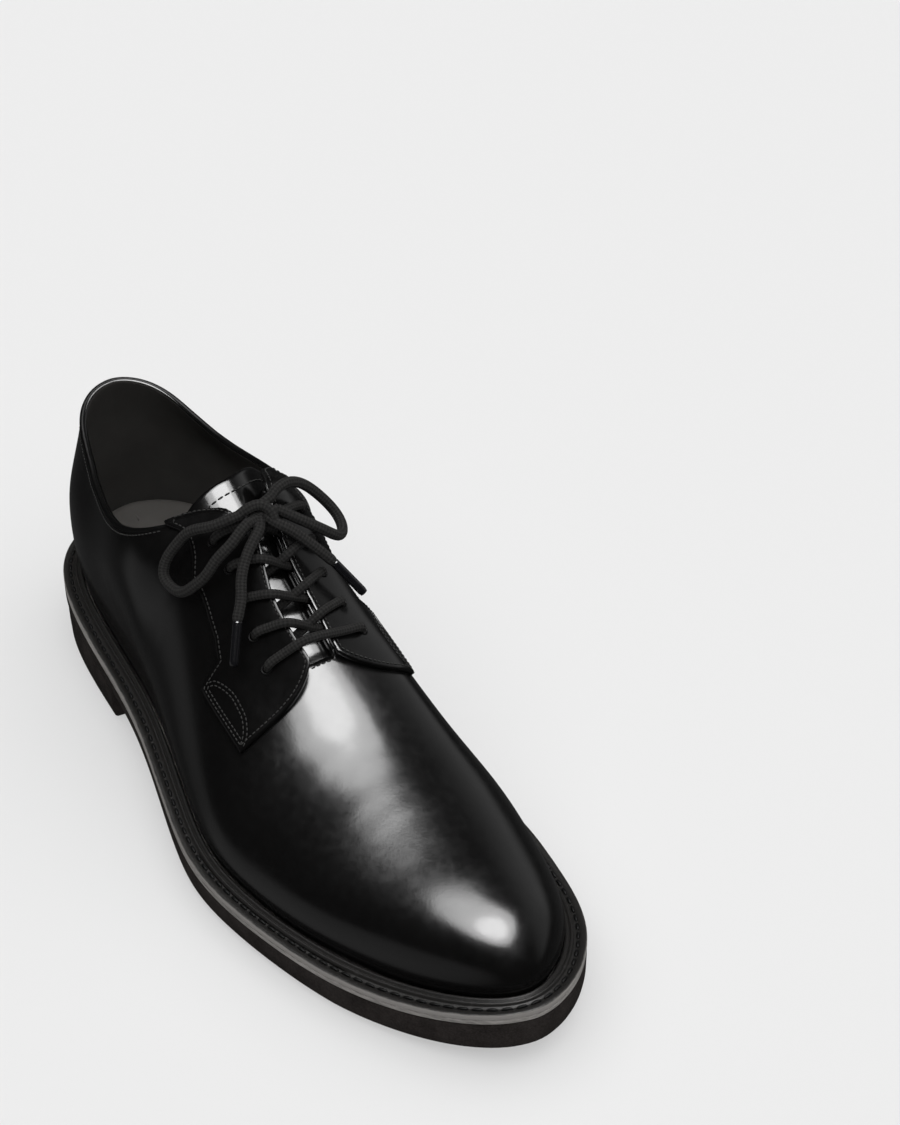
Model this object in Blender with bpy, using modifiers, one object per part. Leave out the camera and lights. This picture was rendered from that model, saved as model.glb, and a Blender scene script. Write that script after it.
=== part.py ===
"""Black leather derby shoe for the right foot, with a tied lace.

Metres, Z up. X runs from heel to toe and Y to the inner side of the foot.
The origin lies on the floor under the middle of the shoe. Sizes below are in
millimetres and are turned into metres where a mesh or a curve is made.
"""
import math

import bpy
import bmesh
import numpy as np
from mathutils import Vector

MM = 0.001

# Driving sizes of the last and the sole
SOLE_LENGTH = 304.0
BALL_WIDTH = 104.5
HEEL_HEIGHT = 28.0
INSTEP_HEIGHT = 98.0
TOE_SPRING = 8.8
CENTRE_ACROSS = -6.25

# Thicknesses and gaps
GAP = 0.3
FACING_CLEARANCE = 0.55
TONGUE_CLEARANCE = 0.9
UPPER_WALL = 2.0
FACING_LEATHER = 1.4
TONGUE_LEATHER = 1.8
INSOLE_BOARD = 2.6
WELT_EDGE = 2.2
MIDSOLE_EDGE = 2.7
OUTSOLE_EDGE = 4.5

# Sole stations
HEEL_BREAST_OUTER = 87.0
HEEL_BREAST_INNER = 94.0
SHANK_START = 130.0
TREAD_START = 188.0
TREAD_END = 240.0

# Upper stations
HEEL_CENTRE = 48.0
HEEL_UNROLLED = 58.0
COLLAR_FRONT = 121.0
THROAT_END = 172.5
TOE_START = 250.0

# Lace
LACE_DIAMETER = 3.8
AGLET_DIAMETER = 3.4
LACE_LIFT = FACING_CLEARANCE + FACING_LEATHER + GAP + LACE_DIAMETER / 2 + 0.2

# Sole edge as shares of the sole length and of the ball width.
# Columns: along, across. It runs up the outer side to the toe and back down the inner side.
SOLE_EDGE = (
    (0.000, -0.005),
    (0.043, -0.258),
    (0.138, -0.381),
    (0.280, -0.421),
    (0.388, -0.450),
    (0.526, -0.529),
    (0.635, -0.560),
    (0.773, -0.476),
    (0.901, -0.309),
    (1.000, -0.010),
    (0.934, 0.292),
    (0.822, 0.411),
    (0.714, 0.440),
    (0.566, 0.354),
    (0.401, 0.254),
    (0.280, 0.306),
    (0.138, 0.368),
    (0.039, 0.249),
)

# Height of the welt's top. Columns: along as a share of the length, height as a share of the heel.
WELT_TOP = (
    (0.000, 1.000),
    (0.138, 0.939),
    (0.263, 0.832),
    (0.378, 0.725),
    (0.526, 0.571),
    (0.641, 0.493),
    (0.773, 0.500),
    (0.905, 0.607),
    (1.000, 0.839),
)

# Sections of the upper. along: share of the length, unrolled round the heel below the heel centre.
# welt and tuck (mm): feather line in from the sole edge, girth line out from the feather line.
# girth (mm): girth line above the feather line. reach: half width of the top edge as a share of
# the girth line's. top: share of the instep height. lean: degrees from upright at the top edge.
# full: roundness of each side. ridge (mm): centre line of the top.
SECTION_COLUMNS = ("along", "welt_outer", "welt_inner", "tuck_outer", "tuck_inner", "girth",
                   "reach", "top", "lean", "full_outer", "full_inner", "ridge")
SECTIONS = (
    (-0.033, 7.5, 7.5, 2.2, 2.2, 24.0, 0.965, 0.934, 8, 0.50, 0.50, 0.0),
    (0.015, 8.0, 7.5, 2.6, 2.5, 24.5, 0.905, 0.907, 13, 0.51, 0.50, 0.0),
    (0.0625, 8.5, 7.5, 3.0, 2.8, 25.0, 0.780, 0.857, 21, 0.52, 0.50, 0.0),
    (0.112, 8.6, 7.3, 3.0, 3.3, 24.5, 0.725, 0.823, 26, 0.52, 0.50, 0.0),
    (0.158, 8.7, 7.0, 3.0, 4.0, 24.0, 0.745, 0.806, 27, 0.52, 0.50, 0.0),
    (0.237, 8.7, 5.5, 2.2, 6.2, 22.0, 0.855, 0.812, 24, 0.50, 0.52, 0.0),
    (0.316, 8.7, 4.0, 2.0, 7.5, 20.0, 0.800, 0.880, 42, 0.47, 0.56, 0.0),
    (0.349, 8.7, 3.7, 2.0, 7.6, 18.8, 0.610, 0.934, 54, 0.44, 0.58, 0.2),
    (0.372, 8.7, 3.6, 2.0, 7.6, 17.9, 0.350, 0.976, 66, 0.42, 0.59, 0.3),
    (0.398, 8.7, 3.5, 2.0, 7.5, 17.0, 0.140, 1.000, 75, 0.40, 0.60, 0.5),
    (0.477, 8.7, 4.0, 2.0, 6.5, 14.0, 0.130, 0.847, 80, 0.34, 0.63, 0.0),
    (0.553, 8.6, 5.0, 1.8, 5.2, 11.0, 0.120, 0.709, 82, 0.30, 0.65, 0.5),
    (0.641, 8.4, 7.0, 1.8, 3.5, 9.0, 0.120, 0.574, 83, 0.33, 0.63, 2.5),
    (0.730, 8.2, 7.5, 2.0, 2.3, 8.5, 0.120, 0.505, 84, 0.44, 0.56, 2.0),
    (0.822, 7.8, 7.5, 2.0, 1.8, 8.5, 0.120, 0.464, 84, 0.54, 0.52, 1.0),
    (0.987, 7.5, 7.5, 2.0, 2.0, 7.5, 0.120, 0.398, 84, 0.55, 0.55, 0.0),
)
HEEL_MIRRORED_ROWS = 3

# Profile of the toe box in front of TOE_START. Columns: along (share), height (share of instep).
TOE_PROFILE = (
    (0.891, 0.449),
    (0.934, 0.413),
    (0.9605, 0.371),
    (0.975, 0.330),
)

# Facing outline, a row for each line from the throat edge out to the seam.
# Columns: along at the throat edge (mm), along at the seam (mm), height of the seam on the side
# arc (0 at the girth line, 1 at the top edge).
FACING_ROWS = (
    (120.0, 106.5, 0.995),
    (126.0, 116.5, 0.810),
    (132.0, 127.0, 0.627),
    (142.0, 138.0, 0.627),
    (150.0, 146.0, 0.627),
    (155.5, 151.5, 0.600),
    (160.0, 152.0, 0.458),
    (166.0, 165.5, 0.475),
    (172.5, 179.0, 0.492),
)
FACING_FRONT_BULGE = 4.8

# Eyelets. Columns: along (mm), height on the side arc.
EYELETS = (
    (166.5, 0.785),
    (156.0, 0.820),
    (145.5, 0.840),
    (135.5, 0.815),
    (125.5, 0.814),
)

# Tongue
TONGUE_TOP = 107.0
TONGUE_FOOT = 181.0
TONGUE_SLOPE = 0.56
TONGUE_EAR_DROP = 1.0
TONGUE_HALF_WIDTH = 20.0

# Routes of the tied ends: along, across, up (mm)
KNOT_CENTRE = (132.8, -0.6, 104.6)
KNOT_RADII = (5.6, 5.8, 3.8)
LOOP_OUTER = (
    (131.6, -6.8, 104.2),
    (130.8, -11.0, 103.2),
    (128.0, -16.8, 100.9),
    (122.7, -21.9, 97.6),
    (119.8, -26.2, 91.9),
    (118.6, -29.6, 86.6),
    (120.3, -31.8, 81.6),
    (124.4, -31.4, 79.4),
    (129.4, -29.8, 79.6),
    (133.4, -27.0, 83.4),
    (136.4, -23.2, 88.6),
    (137.0, -19.8, 93.2),
    (137.6, -13.4, 98.8),
    (136.6, -9.4, 101.6),
    (135.7, -6.0, 103.3),
)
LOOP_INNER = (
    (130.0, 5.2, 106.0),
    (128.4, 8.6, 107.4),
    (126.8, 13.0, 107.4),
    (125.6, 17.8, 105.4),
    (125.3, 22.4, 101.5),
    (126.0, 26.2, 97.0),
    (127.6, 29.0, 93.0),
    (130.5, 30.5, 89.7),
    (134.4, 30.0, 87.8),
    (138.2, 27.7, 87.9),
    (140.9, 24.4, 89.9),
    (141.6, 20.6, 93.2),
    (140.6, 16.2, 96.7),
    (138.6, 11.8, 99.7),
    (136.3, 8.2, 102.0),
    (134.2, 5.5, 103.6),
)
END_OUTER = (
    (137.6, -2.9, 101.6),
    (140.4, -6.8, 99.0),
    (143.6, -12.0, 94.4),
    (147.0, -15.4, 89.9),
    (151.0, -17.9, 85.2),
    (154.4, -21.2, 80.8),
)
AGLET_OUTER = ((154.9, -21.6, 80.2), (163.0, -27.8, 69.6))
END_INNER = (
    (137.6, 2.1, 102.0),
    (140.8, 5.8, 99.6),
    (144.4, 10.2, 95.6),
    (147.6, 14.0, 91.4),
    (150.4, 17.2, 87.6),
)
AGLET_INNER = ((150.8, 17.7, 87.0), (158.2, 24.8, 76.0))

# Colours (linear), roughness
LEATHER = ((0.006, 0.006, 0.006), 0.12)
LINING = ((0.016, 0.015, 0.014), 0.75)
RUBBER = ((0.016, 0.015, 0.014), 0.6)
EDGE = ((0.075, 0.068, 0.058), 0.55)
CORD = ((0.018, 0.018, 0.018), 0.8)
PLASTIC = ((0.012, 0.012, 0.012), 0.2)


# Curves through table rows

def spline_slopes(knots, values, closed):
    """Second derivatives of the smooth curve through the rows."""
    count = len(values)
    steps = np.diff(knots)
    matrix = np.zeros((count, count))
    right = np.zeros(values.shape)
    rows = range(count) if closed else range(1, count - 1)
    if not closed:
        matrix[0, 0] = 1.0
        matrix[-1, -1] = 1.0
    for i in rows:
        before = (i - 1) % count
        after = (i + 1) % count
        matrix[i, before] += steps[before]
        matrix[i, i] += 2.0 * (steps[before] + steps[i])
        matrix[i, after] += steps[i]
        ahead = (values[after] - values[i]) / steps[i]
        behind = (values[i] - values[before]) / steps[before]
        right[i] = 6.0 * (ahead - behind)
    return np.linalg.solve(matrix, right)


def spline(knots, values, at, closed=False):
    """Smooth curve through the rows; a closed one has one more knot than rows."""
    knots = np.asarray(knots, float)
    values = np.asarray(values, float)
    at = np.atleast_1d(np.asarray(at, float))
    bend = spline_slopes(knots, values, closed)
    if closed:
        values = np.concatenate([values, values[:1]])
        bend = np.concatenate([bend, bend[:1]])
    left = np.clip(np.searchsorted(knots, at) - 1, 0, len(knots) - 2)
    step = knots[left + 1] - knots[left]
    a = (knots[left + 1] - at) / step
    b = (at - knots[left]) / step
    if values.ndim > 1:
        a, b, step = a[:, None], b[:, None], step[:, None]
    line = a * values[left] + b * values[left + 1]
    return line + ((a**3 - a) * bend[left] + (b**3 - b) * bend[left + 1]) * step**2 / 6.0


def chord_lengths(points, power=1.0):
    """Running length along the points, each chord raised to a power."""
    chords = np.linalg.norm(np.diff(points, axis=0), axis=1) ** power
    return np.concatenate([[0.0], np.cumsum(chords)])


def smooth_step(value, low, high):
    """0 below low, 1 above high, eased between."""
    share = np.clip((value - low) / (high - low), 0.0, 1.0)
    return share * share * (3.0 - 2.0 * share)


# The last: outlines, heights and the arcs of the upper

def section_value(column, along):
    """One column of SECTIONS at places along the shoe (mm); mirrored rows round off the heel."""
    rows = np.array(SECTIONS)
    mirrored = rows[HEEL_MIRRORED_ROWS:0:-1].copy()
    mirrored[:, 0] = 2.0 * rows[0, 0] - mirrored[:, 0]
    knots = np.concatenate([mirrored[:, 0], rows[:, 0]]) * SOLE_LENGTH
    index = SECTION_COLUMNS.index(column)
    at = np.clip(np.atleast_1d(along), rows[0, 0] * SOLE_LENGTH, knots[-1])
    return spline(knots, np.concatenate([mirrored[:, index], rows[:, index]]), at)


def welt_top(along):
    """Height of the welt's top edge."""
    rows = np.array(WELT_TOP)
    at = np.clip(np.atleast_1d(along), 0.0, SOLE_LENGTH)
    return spline(rows[:, 0] * SOLE_LENGTH, rows[:, 1] * HEEL_HEIGHT, at)


def feather_height(along):
    """Height of the upper's lower edge, on the midsole."""
    return welt_top(along) - WELT_EDGE


def outsole_top(along):
    """Height of the outsole's upper face, under the midsole."""
    return welt_top(along) - WELT_EDGE - GAP - MIDSOLE_EDGE - GAP


def underside(along):
    """Height of the outsole's lower face: over the heel, through the arch, flat tread, toe spring."""
    along = np.atleast_1d(along)
    shank = outsole_top(along) - OUTSOLE_EDGE
    level = shank * (1.0 - smooth_step(along, SHANK_START, TREAD_START))
    rise = np.clip((along - TREAD_END) / (SOLE_LENGTH - TREAD_END), 0.0, 1.0)
    return np.where(along > TREAD_START, 0.0, level) + TOE_SPRING * rise**1.6


class Side:
    """Sole edge, feather line and girth line of one side, from the heel's back to the toe."""

    def __init__(self, name, edge, normal):
        along = edge[:, 0]
        self.name = name
        self.edge = edge
        self.normal = normal
        self.welt = section_value("welt_" + name, along)
        self.tuck = section_value("tuck_" + name, along)
        self.feather = edge - self.welt[:, None] * normal
        self.girth = self.feather + self.tuck[:, None] * normal

    def at(self, index, *names):
        """Values of the named arrays at a fractional index."""
        order = np.arange(len(self.edge))
        found = []
        for name in names:
            values = getattr(self, name)
            if values.ndim == 1:
                found.append(float(np.interp(index, order, values)))
            else:
                found.append(np.array([np.interp(index, order, values[:, k]) for k in (0, 1)]))
        return found

    def index_at(self, along, line="edge"):
        """Fractional index where a line of this side passes a place along the shoe."""
        return float(np.interp(along, getattr(self, line)[:, 0], np.arange(len(self.edge))))


def make_sides(samples=1200):
    """Both sides of the last from the closed curve of the sole edge."""
    rows = np.array(SOLE_EDGE) * (SOLE_LENGTH, BALL_WIDTH)
    knots = chord_lengths(np.vstack([rows, rows[:1]]), 0.5)
    edge = spline(knots, rows, np.linspace(0.0, knots[-1], samples, endpoint=False), closed=True)
    ahead = np.roll(edge, -1, 0) - np.roll(edge, 1, 0)
    ahead /= np.linalg.norm(ahead, axis=1)[:, None]
    outward = np.column_stack([ahead[:, 1], -ahead[:, 0]])
    if np.sum((edge - edge.mean(axis=0)) * outward) < 0.0:
        outward = -outward
    order = np.roll(np.arange(samples), -int(np.argmin(edge[:, 0])))
    tip = int(np.where(order == int(np.argmax(edge[:, 0])))[0][0])
    outer = order[:tip + 1]
    inner = np.concatenate([order[:1], order[tip:][::-1]])
    return {
        "outer": Side("outer", edge[outer], outward[outer]),
        "inner": Side("inner", edge[inner], outward[inner]),
    }


SIDES = make_sides()
TOE_TIP = SIDES["outer"].girth[-1]


def toe_profile():
    """Smooth profile over the toe box, ending upright at the toe tip."""
    rows = np.array(TOE_PROFILE) * (SOLE_LENGTH, INSTEP_HEIGHT)
    tip_height = feather_height(SIDES["outer"].feather[-1, 0]) + section_value("girth", SOLE_LENGTH)
    before = np.array([TOE_START - 8.0, TOE_START])
    start = np.column_stack([before, section_value("top", before) * INSTEP_HEIGHT])
    tip = np.array([[TOE_TIP[0], tip_height[0]]])
    mirrored = np.array([[rows[-1, 0], 2.0 * tip_height[0] - rows[-1, 1]]])
    points = np.vstack([start, rows, tip, mirrored])
    knots = chord_lengths(points)
    return spline(knots, points, np.linspace(0.0, knots[-2], 300))


PROFILE = toe_profile()


class Section:
    """One cross section of a side: from the feather line to the girth line to the top edge."""

    def __init__(self, side, along=None, heel_angle=None):
        sign = -1.0 if side.name == "outer" else 1.0
        if heel_angle is not None:
            near = side.girth[:, 0] <= HEEL_CENTRE + 20.0
            angles = np.arctan2(side.girth[near, 1] * sign, HEEL_CENTRE - side.girth[near, 0])
            index = float(np.interp(heel_angle, angles, np.arange(len(side.girth))[near]))
            self.centre = np.array([HEEL_CENTRE, 0.0])
            along = HEEL_CENTRE - HEEL_UNROLLED * (1.0 - heel_angle / (math.pi / 2.0))
        else:
            index = side.index_at(along, "girth")
            to_tip = max(0.0, (along - TOE_START) / (TOE_TIP[0] - TOE_START))
            ridge = section_value("ridge", along)[0]
            self.centre = np.array([along, (1.0 - to_tip) * ridge + to_tip * TOE_TIP[1]])
        self.along = along
        self.foot, self.side = side.at(index, "feather", "girth")
        if heel_angle is None:
            self.side[0] = along
        top = section_value("top", along)[0] * INSTEP_HEIGHT
        if heel_angle is None and along > TOE_START:
            top = float(np.interp(along, PROFILE[:, 0], PROFILE[:, 1]))
        lean = math.radians(section_value("lean", along)[0])
        reach = section_value("reach", along)[0]
        full = section_value("full_" + side.name, along)[0]
        self.foot_height = feather_height(self.foot[0])[0]
        half = float(np.linalg.norm(self.side - self.centre))
        self.direction = (self.side - self.centre) / max(half, 1e-9)
        self.cap_rise = 0.5 * reach * half / math.tan(lean) if along > COLLAR_FRONT else 0.0
        self.cap_half = reach * half
        self.top = top - self.cap_rise
        self.side_height = self.foot_height + section_value("girth", along)[0]
        if along > TOE_START:
            self.side_height = min(self.side_height, self.top)
        rise = self.top - self.side_height
        run = half - self.cap_half
        handle = full * (run * math.sin(lean) + rise * math.cos(lean))
        self.arc = np.array([
            (half, self.side_height),
            (half, self.side_height + full * rise),
            (self.cap_half + handle * math.sin(lean), self.top - handle * math.cos(lean)),
            (self.cap_half, self.top),
        ])

    def band_point(self, share):
        """Point between the feather line (0) and the girth line (1)."""
        place = self.foot + (self.side - self.foot) * math.sin(share * math.pi / 2.0)
        height = self.foot_height + (self.side_height - self.foot_height) * share
        return np.array([place[0], place[1], height])

    def arc_point(self, share):
        """Point between the girth line (0) and the top edge (1)."""
        rest = 1.0 - share
        weights = (rest**3, 3.0 * rest**2 * share, 3.0 * rest * share**2, share**3)
        out, height = np.dot(weights, self.arc)
        place = self.centre + self.direction * out
        return np.array([place[0], place[1], height])

    def cap_point(self, share):
        """Point between the top edge (0) and the centre line (1)."""
        place = self.centre + self.direction * self.cap_half * (1.0 - share)
        height = self.top + self.cap_rise * (1.0 - (1.0 - share) ** 2)
        return np.array([place[0], place[1], height])


def upper_point(side, along, share, lift=0.0):
    """Point on the side arc of the upper, lifted along the outward normal."""
    step = 0.5
    here = Section(side, along).arc_point(share)
    if lift == 0.0:
        return here
    forward = Section(side, along + step).arc_point(share) - Section(side, along - step).arc_point(share)
    low = max(share - 0.01, 0.0)
    high = min(share + 0.01, 1.0)
    upward = Section(side, along).arc_point(high) - Section(side, along).arc_point(low)
    normal = np.cross(forward, upward)
    if side.name == "inner":
        normal = -normal
    return here + lift * normal / np.linalg.norm(normal)


# Blender helpers

def clear_scene():
    """Remove every object of the scene."""
    for item in list(bpy.data.objects):
        bpy.data.objects.remove(item, do_unlink=True)


def make_material(name, look):
    """Principled material with a colour and a roughness."""
    colour, roughness = look
    material = bpy.data.materials.new(name)
    material.use_nodes = True
    shader = material.node_tree.nodes["Principled BSDF"]
    shader.inputs["Base Color"].default_value = (*colour, 1.0)
    shader.inputs["Roughness"].default_value = roughness
    shader.inputs["Metallic"].default_value = 0.0
    return material


def to_metres(point):
    """Shoe millimetres to scene metres."""
    return Vector((
        (point[0] - SOLE_LENGTH / 2.0) * MM,
        (point[1] - CENTRE_ACROSS) * MM,
        point[2] * MM,
    ))


def add_mesh(name, form, look, collection):
    """Object with its own material from a bmesh."""
    bmesh.ops.remove_doubles(form, verts=form.verts, dist=0.00002)
    bmesh.ops.recalc_face_normals(form, faces=form.faces)
    mesh = bpy.data.meshes.new(name)
    form.to_mesh(mesh)
    form.free()
    thing = bpy.data.objects.new(name, mesh)
    mesh.materials.append(make_material(name, look))
    collection.objects.link(thing)
    return thing


def add_shell(thing, thickness, offset):
    """Give an open surface its thickness."""
    shell = thing.modifiers.new("Thickness", "SOLIDIFY")
    shell.thickness = thickness * MM
    shell.offset = offset
    shell.use_even_offset = True
    shell.use_rim = True


def add_grid(form, grid):
    """Faces over a grid of points; equal neighbours are merged later."""
    rows = [[form.verts.new(to_metres(point)) for point in row] for row in grid]
    for below, above in zip(rows, rows[1:]):
        for i in range(len(below) - 1):
            form.faces.new((below[i], below[i + 1], above[i + 1], above[i]))


def add_slab(name, loops, look, collection):
    """Solid through level loops; each loop runs up the outer side and back down the inner side."""
    form = bmesh.new()
    rings = [[form.verts.new(to_metres(point)) for point in loop] for loop in loops]
    count = len(rings[0])
    for below, above in zip(rings, rings[1:]):
        for i in range(count):
            after = (i + 1) % count
            form.faces.new((below[i], below[after], above[after], above[i]))
    for ring in (rings[0], rings[-1]):
        for i in range((count - 1) // 2):
            corners = [ring[i], ring[i + 1], ring[count - 2 - i], ring[count - 1 - i]]
            form.faces.new(list(dict.fromkeys(corners)))
    return add_mesh(name, form, look, collection)


def add_tube(name, points, diameter, look, collection, spacing=2.2):
    """Round cord along a smooth curve through the points."""
    points = np.array(points)
    knots = chord_lengths(points)
    count = max(2, int(round(knots[-1] / (spacing * diameter))) + 1)
    route = spline(knots, points, np.linspace(0.0, knots[-1], count))
    curve = bpy.data.curves.new(name, "CURVE")
    curve.dimensions = "3D"
    curve.bevel_depth = diameter / 2.0 * MM
    curve.bevel_resolution = 2
    curve.use_fill_caps = True
    line = curve.splines.new("POLY")
    line.points.add(count - 1)
    for knot, point in zip(line.points, route):
        knot.co = (*to_metres(point), 1.0)
    thing = bpy.data.objects.new(name, curve)
    curve.materials.append(make_material(name, look))
    collection.objects.link(thing)
    return thing


# Sole

def edge_stations(count=34):
    """Places along the sole, closer together at heel and toe."""
    turn = np.linspace(0.0, math.pi, count)
    return SOLE_LENGTH * (0.5 - 0.5 * np.cos(turn))


def edge_loop(stations, inset, height):
    """Closed loop inside the sole edge; height is a function of the place along."""
    outer = []
    inner = []
    for along in stations:
        for side, points in ((SIDES["outer"], outer), (SIDES["inner"], inner)):
            edge, normal = side.at(side.index_at(along), "edge", "normal")
            place = edge - inset * normal
            points.append((place[0], place[1], height(place[0])))
    return outer + inner[::-1]


def make_outsole(collection):
    """Rubber outsole: thin through the waist, full tread, toe spring, rounded lower edge."""
    stations = edge_stations()

    def level(share):
        return lambda along: float(underside(along)[0] * (1.0 - share) + outsole_top(along)[0] * share)

    loops = [edge_loop(stations, inset, level(share)) for inset, share in (
        (2.2, 0.0), (0.7, 0.10), (0.0, 0.30), (0.0, 0.92), (0.5, 1.0))]
    return add_slab("outsole", loops, RUBBER, collection)


def make_midsole(collection):
    """Midsole whose edge shows as a pale band with fine grooves."""
    stations = edge_stations()

    def level(share):
        return lambda along: float(outsole_top(along)[0] + GAP + MIDSOLE_EDGE * share)

    grooves = ((0.5, 0.0), (0.1, 0.10), (0.1, 0.30), (0.5, 0.38), (0.1, 0.46),
               (0.1, 0.66), (0.5, 0.74), (0.1, 0.82), (0.3, 1.0))
    loops = [edge_loop(stations, inset, level(share)) for inset, share in grooves]
    return add_slab("midsole", loops, EDGE, collection)


def make_heel(collection):
    """Heel block under the outsole, square at the breast, drawn in a little at the floor."""
    shares = 0.5 - 0.5 * np.cos(np.linspace(0.0, math.pi, 14))
    shares = np.sin(shares * math.pi / 2.0) ** 1.3

    def loop(inset, share):
        outer = []
        inner = []
        for part in shares:
            for side, breast, points in (
                    (SIDES["outer"], HEEL_BREAST_OUTER, outer), (SIDES["inner"], HEEL_BREAST_INNER, inner)):
                edge, normal = side.at(side.index_at(part * breast), "edge", "normal")
                place = edge - inset * normal
                top = underside(place[0])[0] - GAP
                points.append((place[0], place[1], top * share))
        return outer + inner[::-1]

    loops = [loop(1.6, 0.0), loop(0.9, 0.06), loop(0.4, 0.96), loop(0.8, 1.0)]
    return add_slab("heel", loops, RUBBER, collection)


def make_welt(collection):
    """Welt strip round the foot of the upper, with a raised rib against the leather."""
    form = bmesh.new()
    outer_count = 40
    rings = []
    for side, backward in ((SIDES["outer"], False), (SIDES["inner"], True)):
        spread = np.linspace(0.0, len(side.edge) - 1.0, outer_count)
        if backward:
            spread = spread[::-1]
        for index in spread[:-1]:
            edge, normal, foot, welt, tuck = side.at(index, "edge", "normal", "feather", "welt", "tuck")
            girth = section_value("girth", foot[0])[0]
            rib = 2.0 * smooth_step(welt, 4.0, 7.0)

            def wall(height):
                """Distance of the upper's outside from the feather line at a height."""
                return tuck * math.sin(min(height / girth, 1.0) * math.pi / 2.0) + GAP + 0.15

            top = WELT_EDGE
            rib_width = 1.0 + 0.45 * rib
            profile = (
                (wall(0.0), 0.0),
                (wall(top + rib), top + rib),
                (wall(top + rib) + rib_width * 0.6, top + rib),
                (wall(top + rib) + rib_width, top),
                (max(welt - 0.7, wall(top + rib) + rib_width + 0.3), top),
                (max(welt, wall(top + rib) + rib_width + 0.6), top - 0.6),
                (max(welt, wall(top + rib) + rib_width + 0.6), 0.0),
            )
            ring = []
            for out, up in profile:
                place = foot + out * normal
                height = feather_height(place[0])[0] + up
                ring.append(form.verts.new(to_metres((place[0], place[1], height))))
            rings.append(ring)
    count = len(rings[0])
    for here, after in zip(rings, rings[1:] + rings[:1]):
        for i in range(count):
            j = (i + 1) % count
            form.faces.new((here[i], here[j], after[j], after[i]))
    return add_mesh("welt", form, EDGE, collection)


def make_insole(collection):
    """Insole board inside the foot of the upper."""
    outer = []
    inner = []
    stations = edge_stations(26)
    inset = UPPER_WALL + 0.7

    def loop(share, trim):
        outer.clear()
        inner.clear()
        for along in stations:
            for side, points in ((SIDES["outer"], outer), (SIDES["inner"], inner)):
                foot, normal = side.at(side.index_at(along), "feather", "normal")
                place = foot - (inset + trim) * normal
                points.append((place[0], place[1], feather_height(place[0])[0] + INSOLE_BOARD * share))
        return outer[:] + inner[::-1]

    loops = [loop(share, trim) for share, trim in ((0.0, 0.4), (0.3, 0.0), (0.8, 0.0), (1.0, 0.5))]
    return add_slab("insole", loops, LINING, collection)


# Upper and what is sewn to it

def upper_sections(side, heel_count, body_count, toe_count):
    """Sections from the heel's back to the toe tip."""
    angles = np.linspace(0.0, math.pi / 2.0, heel_count, endpoint=False)
    ear = COLLAR_FRONT - 21.0
    back = np.linspace(HEEL_CENTRE, ear, body_count // 3)
    ears = np.linspace(ear, COLLAR_FRONT, body_count // 3)
    front = np.linspace(COLLAR_FRONT, THROAT_END, body_count // 3)
    vamp = np.linspace(THROAT_END, TOE_START, body_count // 2)
    toe = TOE_START + (TOE_TIP[0] - TOE_START) * np.sin(np.linspace(0.0, math.pi / 2.0, toe_count + 1))
    places = np.concatenate([back, ears[1:], front[1:], vamp[1:], toe[1:]])
    return [Section(side, heel_angle=a) for a in angles] + [Section(side, p) for p in places]


def make_upper(collection):
    """One hollow wall: vamp, quarters and back, open at the collar, the throat and underneath."""
    form = bmesh.new()
    band = np.linspace(0.0, 1.0, 4)[:-1]
    arc = np.linspace(0.0, 1.0, 10)
    for side in SIDES.values():
        columns = []
        caps = []
        for section in upper_sections(side, 9, 18, 8):
            column = [section.band_point(share) for share in band]
            column += [section.arc_point(share) for share in arc]
            columns.append(column)
            if section.along >= THROAT_END - 0.01:
                caps.append([section.cap_point(share) for share in (0.0, 1.0)])
        add_grid(form, columns)
        add_grid(form, caps)
    bmesh.ops.remove_doubles(form, verts=form.verts, dist=0.00002)
    bmesh.ops.dissolve_degenerate(form, edges=form.edges, dist=0.00002)
    upper = add_mesh("upper", form, LEATHER, collection)
    add_shell(upper, UPPER_WALL, -1.0)
    return upper


def facing_place(row, share):
    """Place along and arc height on a facing; row 0 to 1 from collar to front, share 0 at the throat."""
    rows = np.array(FACING_ROWS)
    at = row * (len(rows) - 1)
    order = np.arange(len(rows))
    inner_along, outer_along, outer_share = [np.interp(at, order, rows[:, k]) for k in range(3)]
    bulge = FACING_FRONT_BULGE * math.sin(math.pi * share**0.7) * smooth_step(row, 0.75, 1.0)
    along = inner_along + (outer_along - inner_along) * share + bulge
    return along, 1.0 + (outer_share - 1.0) * share


def make_facing(side, collection):
    """Eyelet facing over the vamp and quarter, cut from the upper's own surface."""
    form = bmesh.new()
    rows = np.linspace(0.0, 1.0, 2 * (len(FACING_ROWS) - 1) + 1)
    grid = []
    for row in rows:
        line = []
        for share in np.linspace(0.0, 1.0, 8):
            along, height = facing_place(row, share)
            line.append(upper_point(side, along, height, FACING_CLEARANCE))
        grid.append(line)
    add_grid(form, grid)
    facing = add_mesh("facing_" + side.name, form, LEATHER, collection)
    outward = facing.data.polygons[len(facing.data.polygons) // 2].normal
    toward = 1.0 if side.name == "inner" else -1.0
    facing_out = outward.dot(Vector((0.0, toward, 1.0))) > 0.0
    if not facing_out:
        facing.data.flip_normals()
    add_shell(facing, FACING_LEATHER, 1.0)
    return facing


def throat_point(side, along, girth):
    """Point of the upper a distance round the section from its centre line."""
    section = Section(side, along)
    points = [section.cap_point(share) for share in (1.0, 0.5, 0.0)]
    points += [section.arc_point(share) for share in np.linspace(0.97, 0.3, 24)]
    points = np.array(points)
    lengths = chord_lengths(points)
    return np.array([np.interp(girth, lengths, points[:, k]) for k in range(3)])


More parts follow.
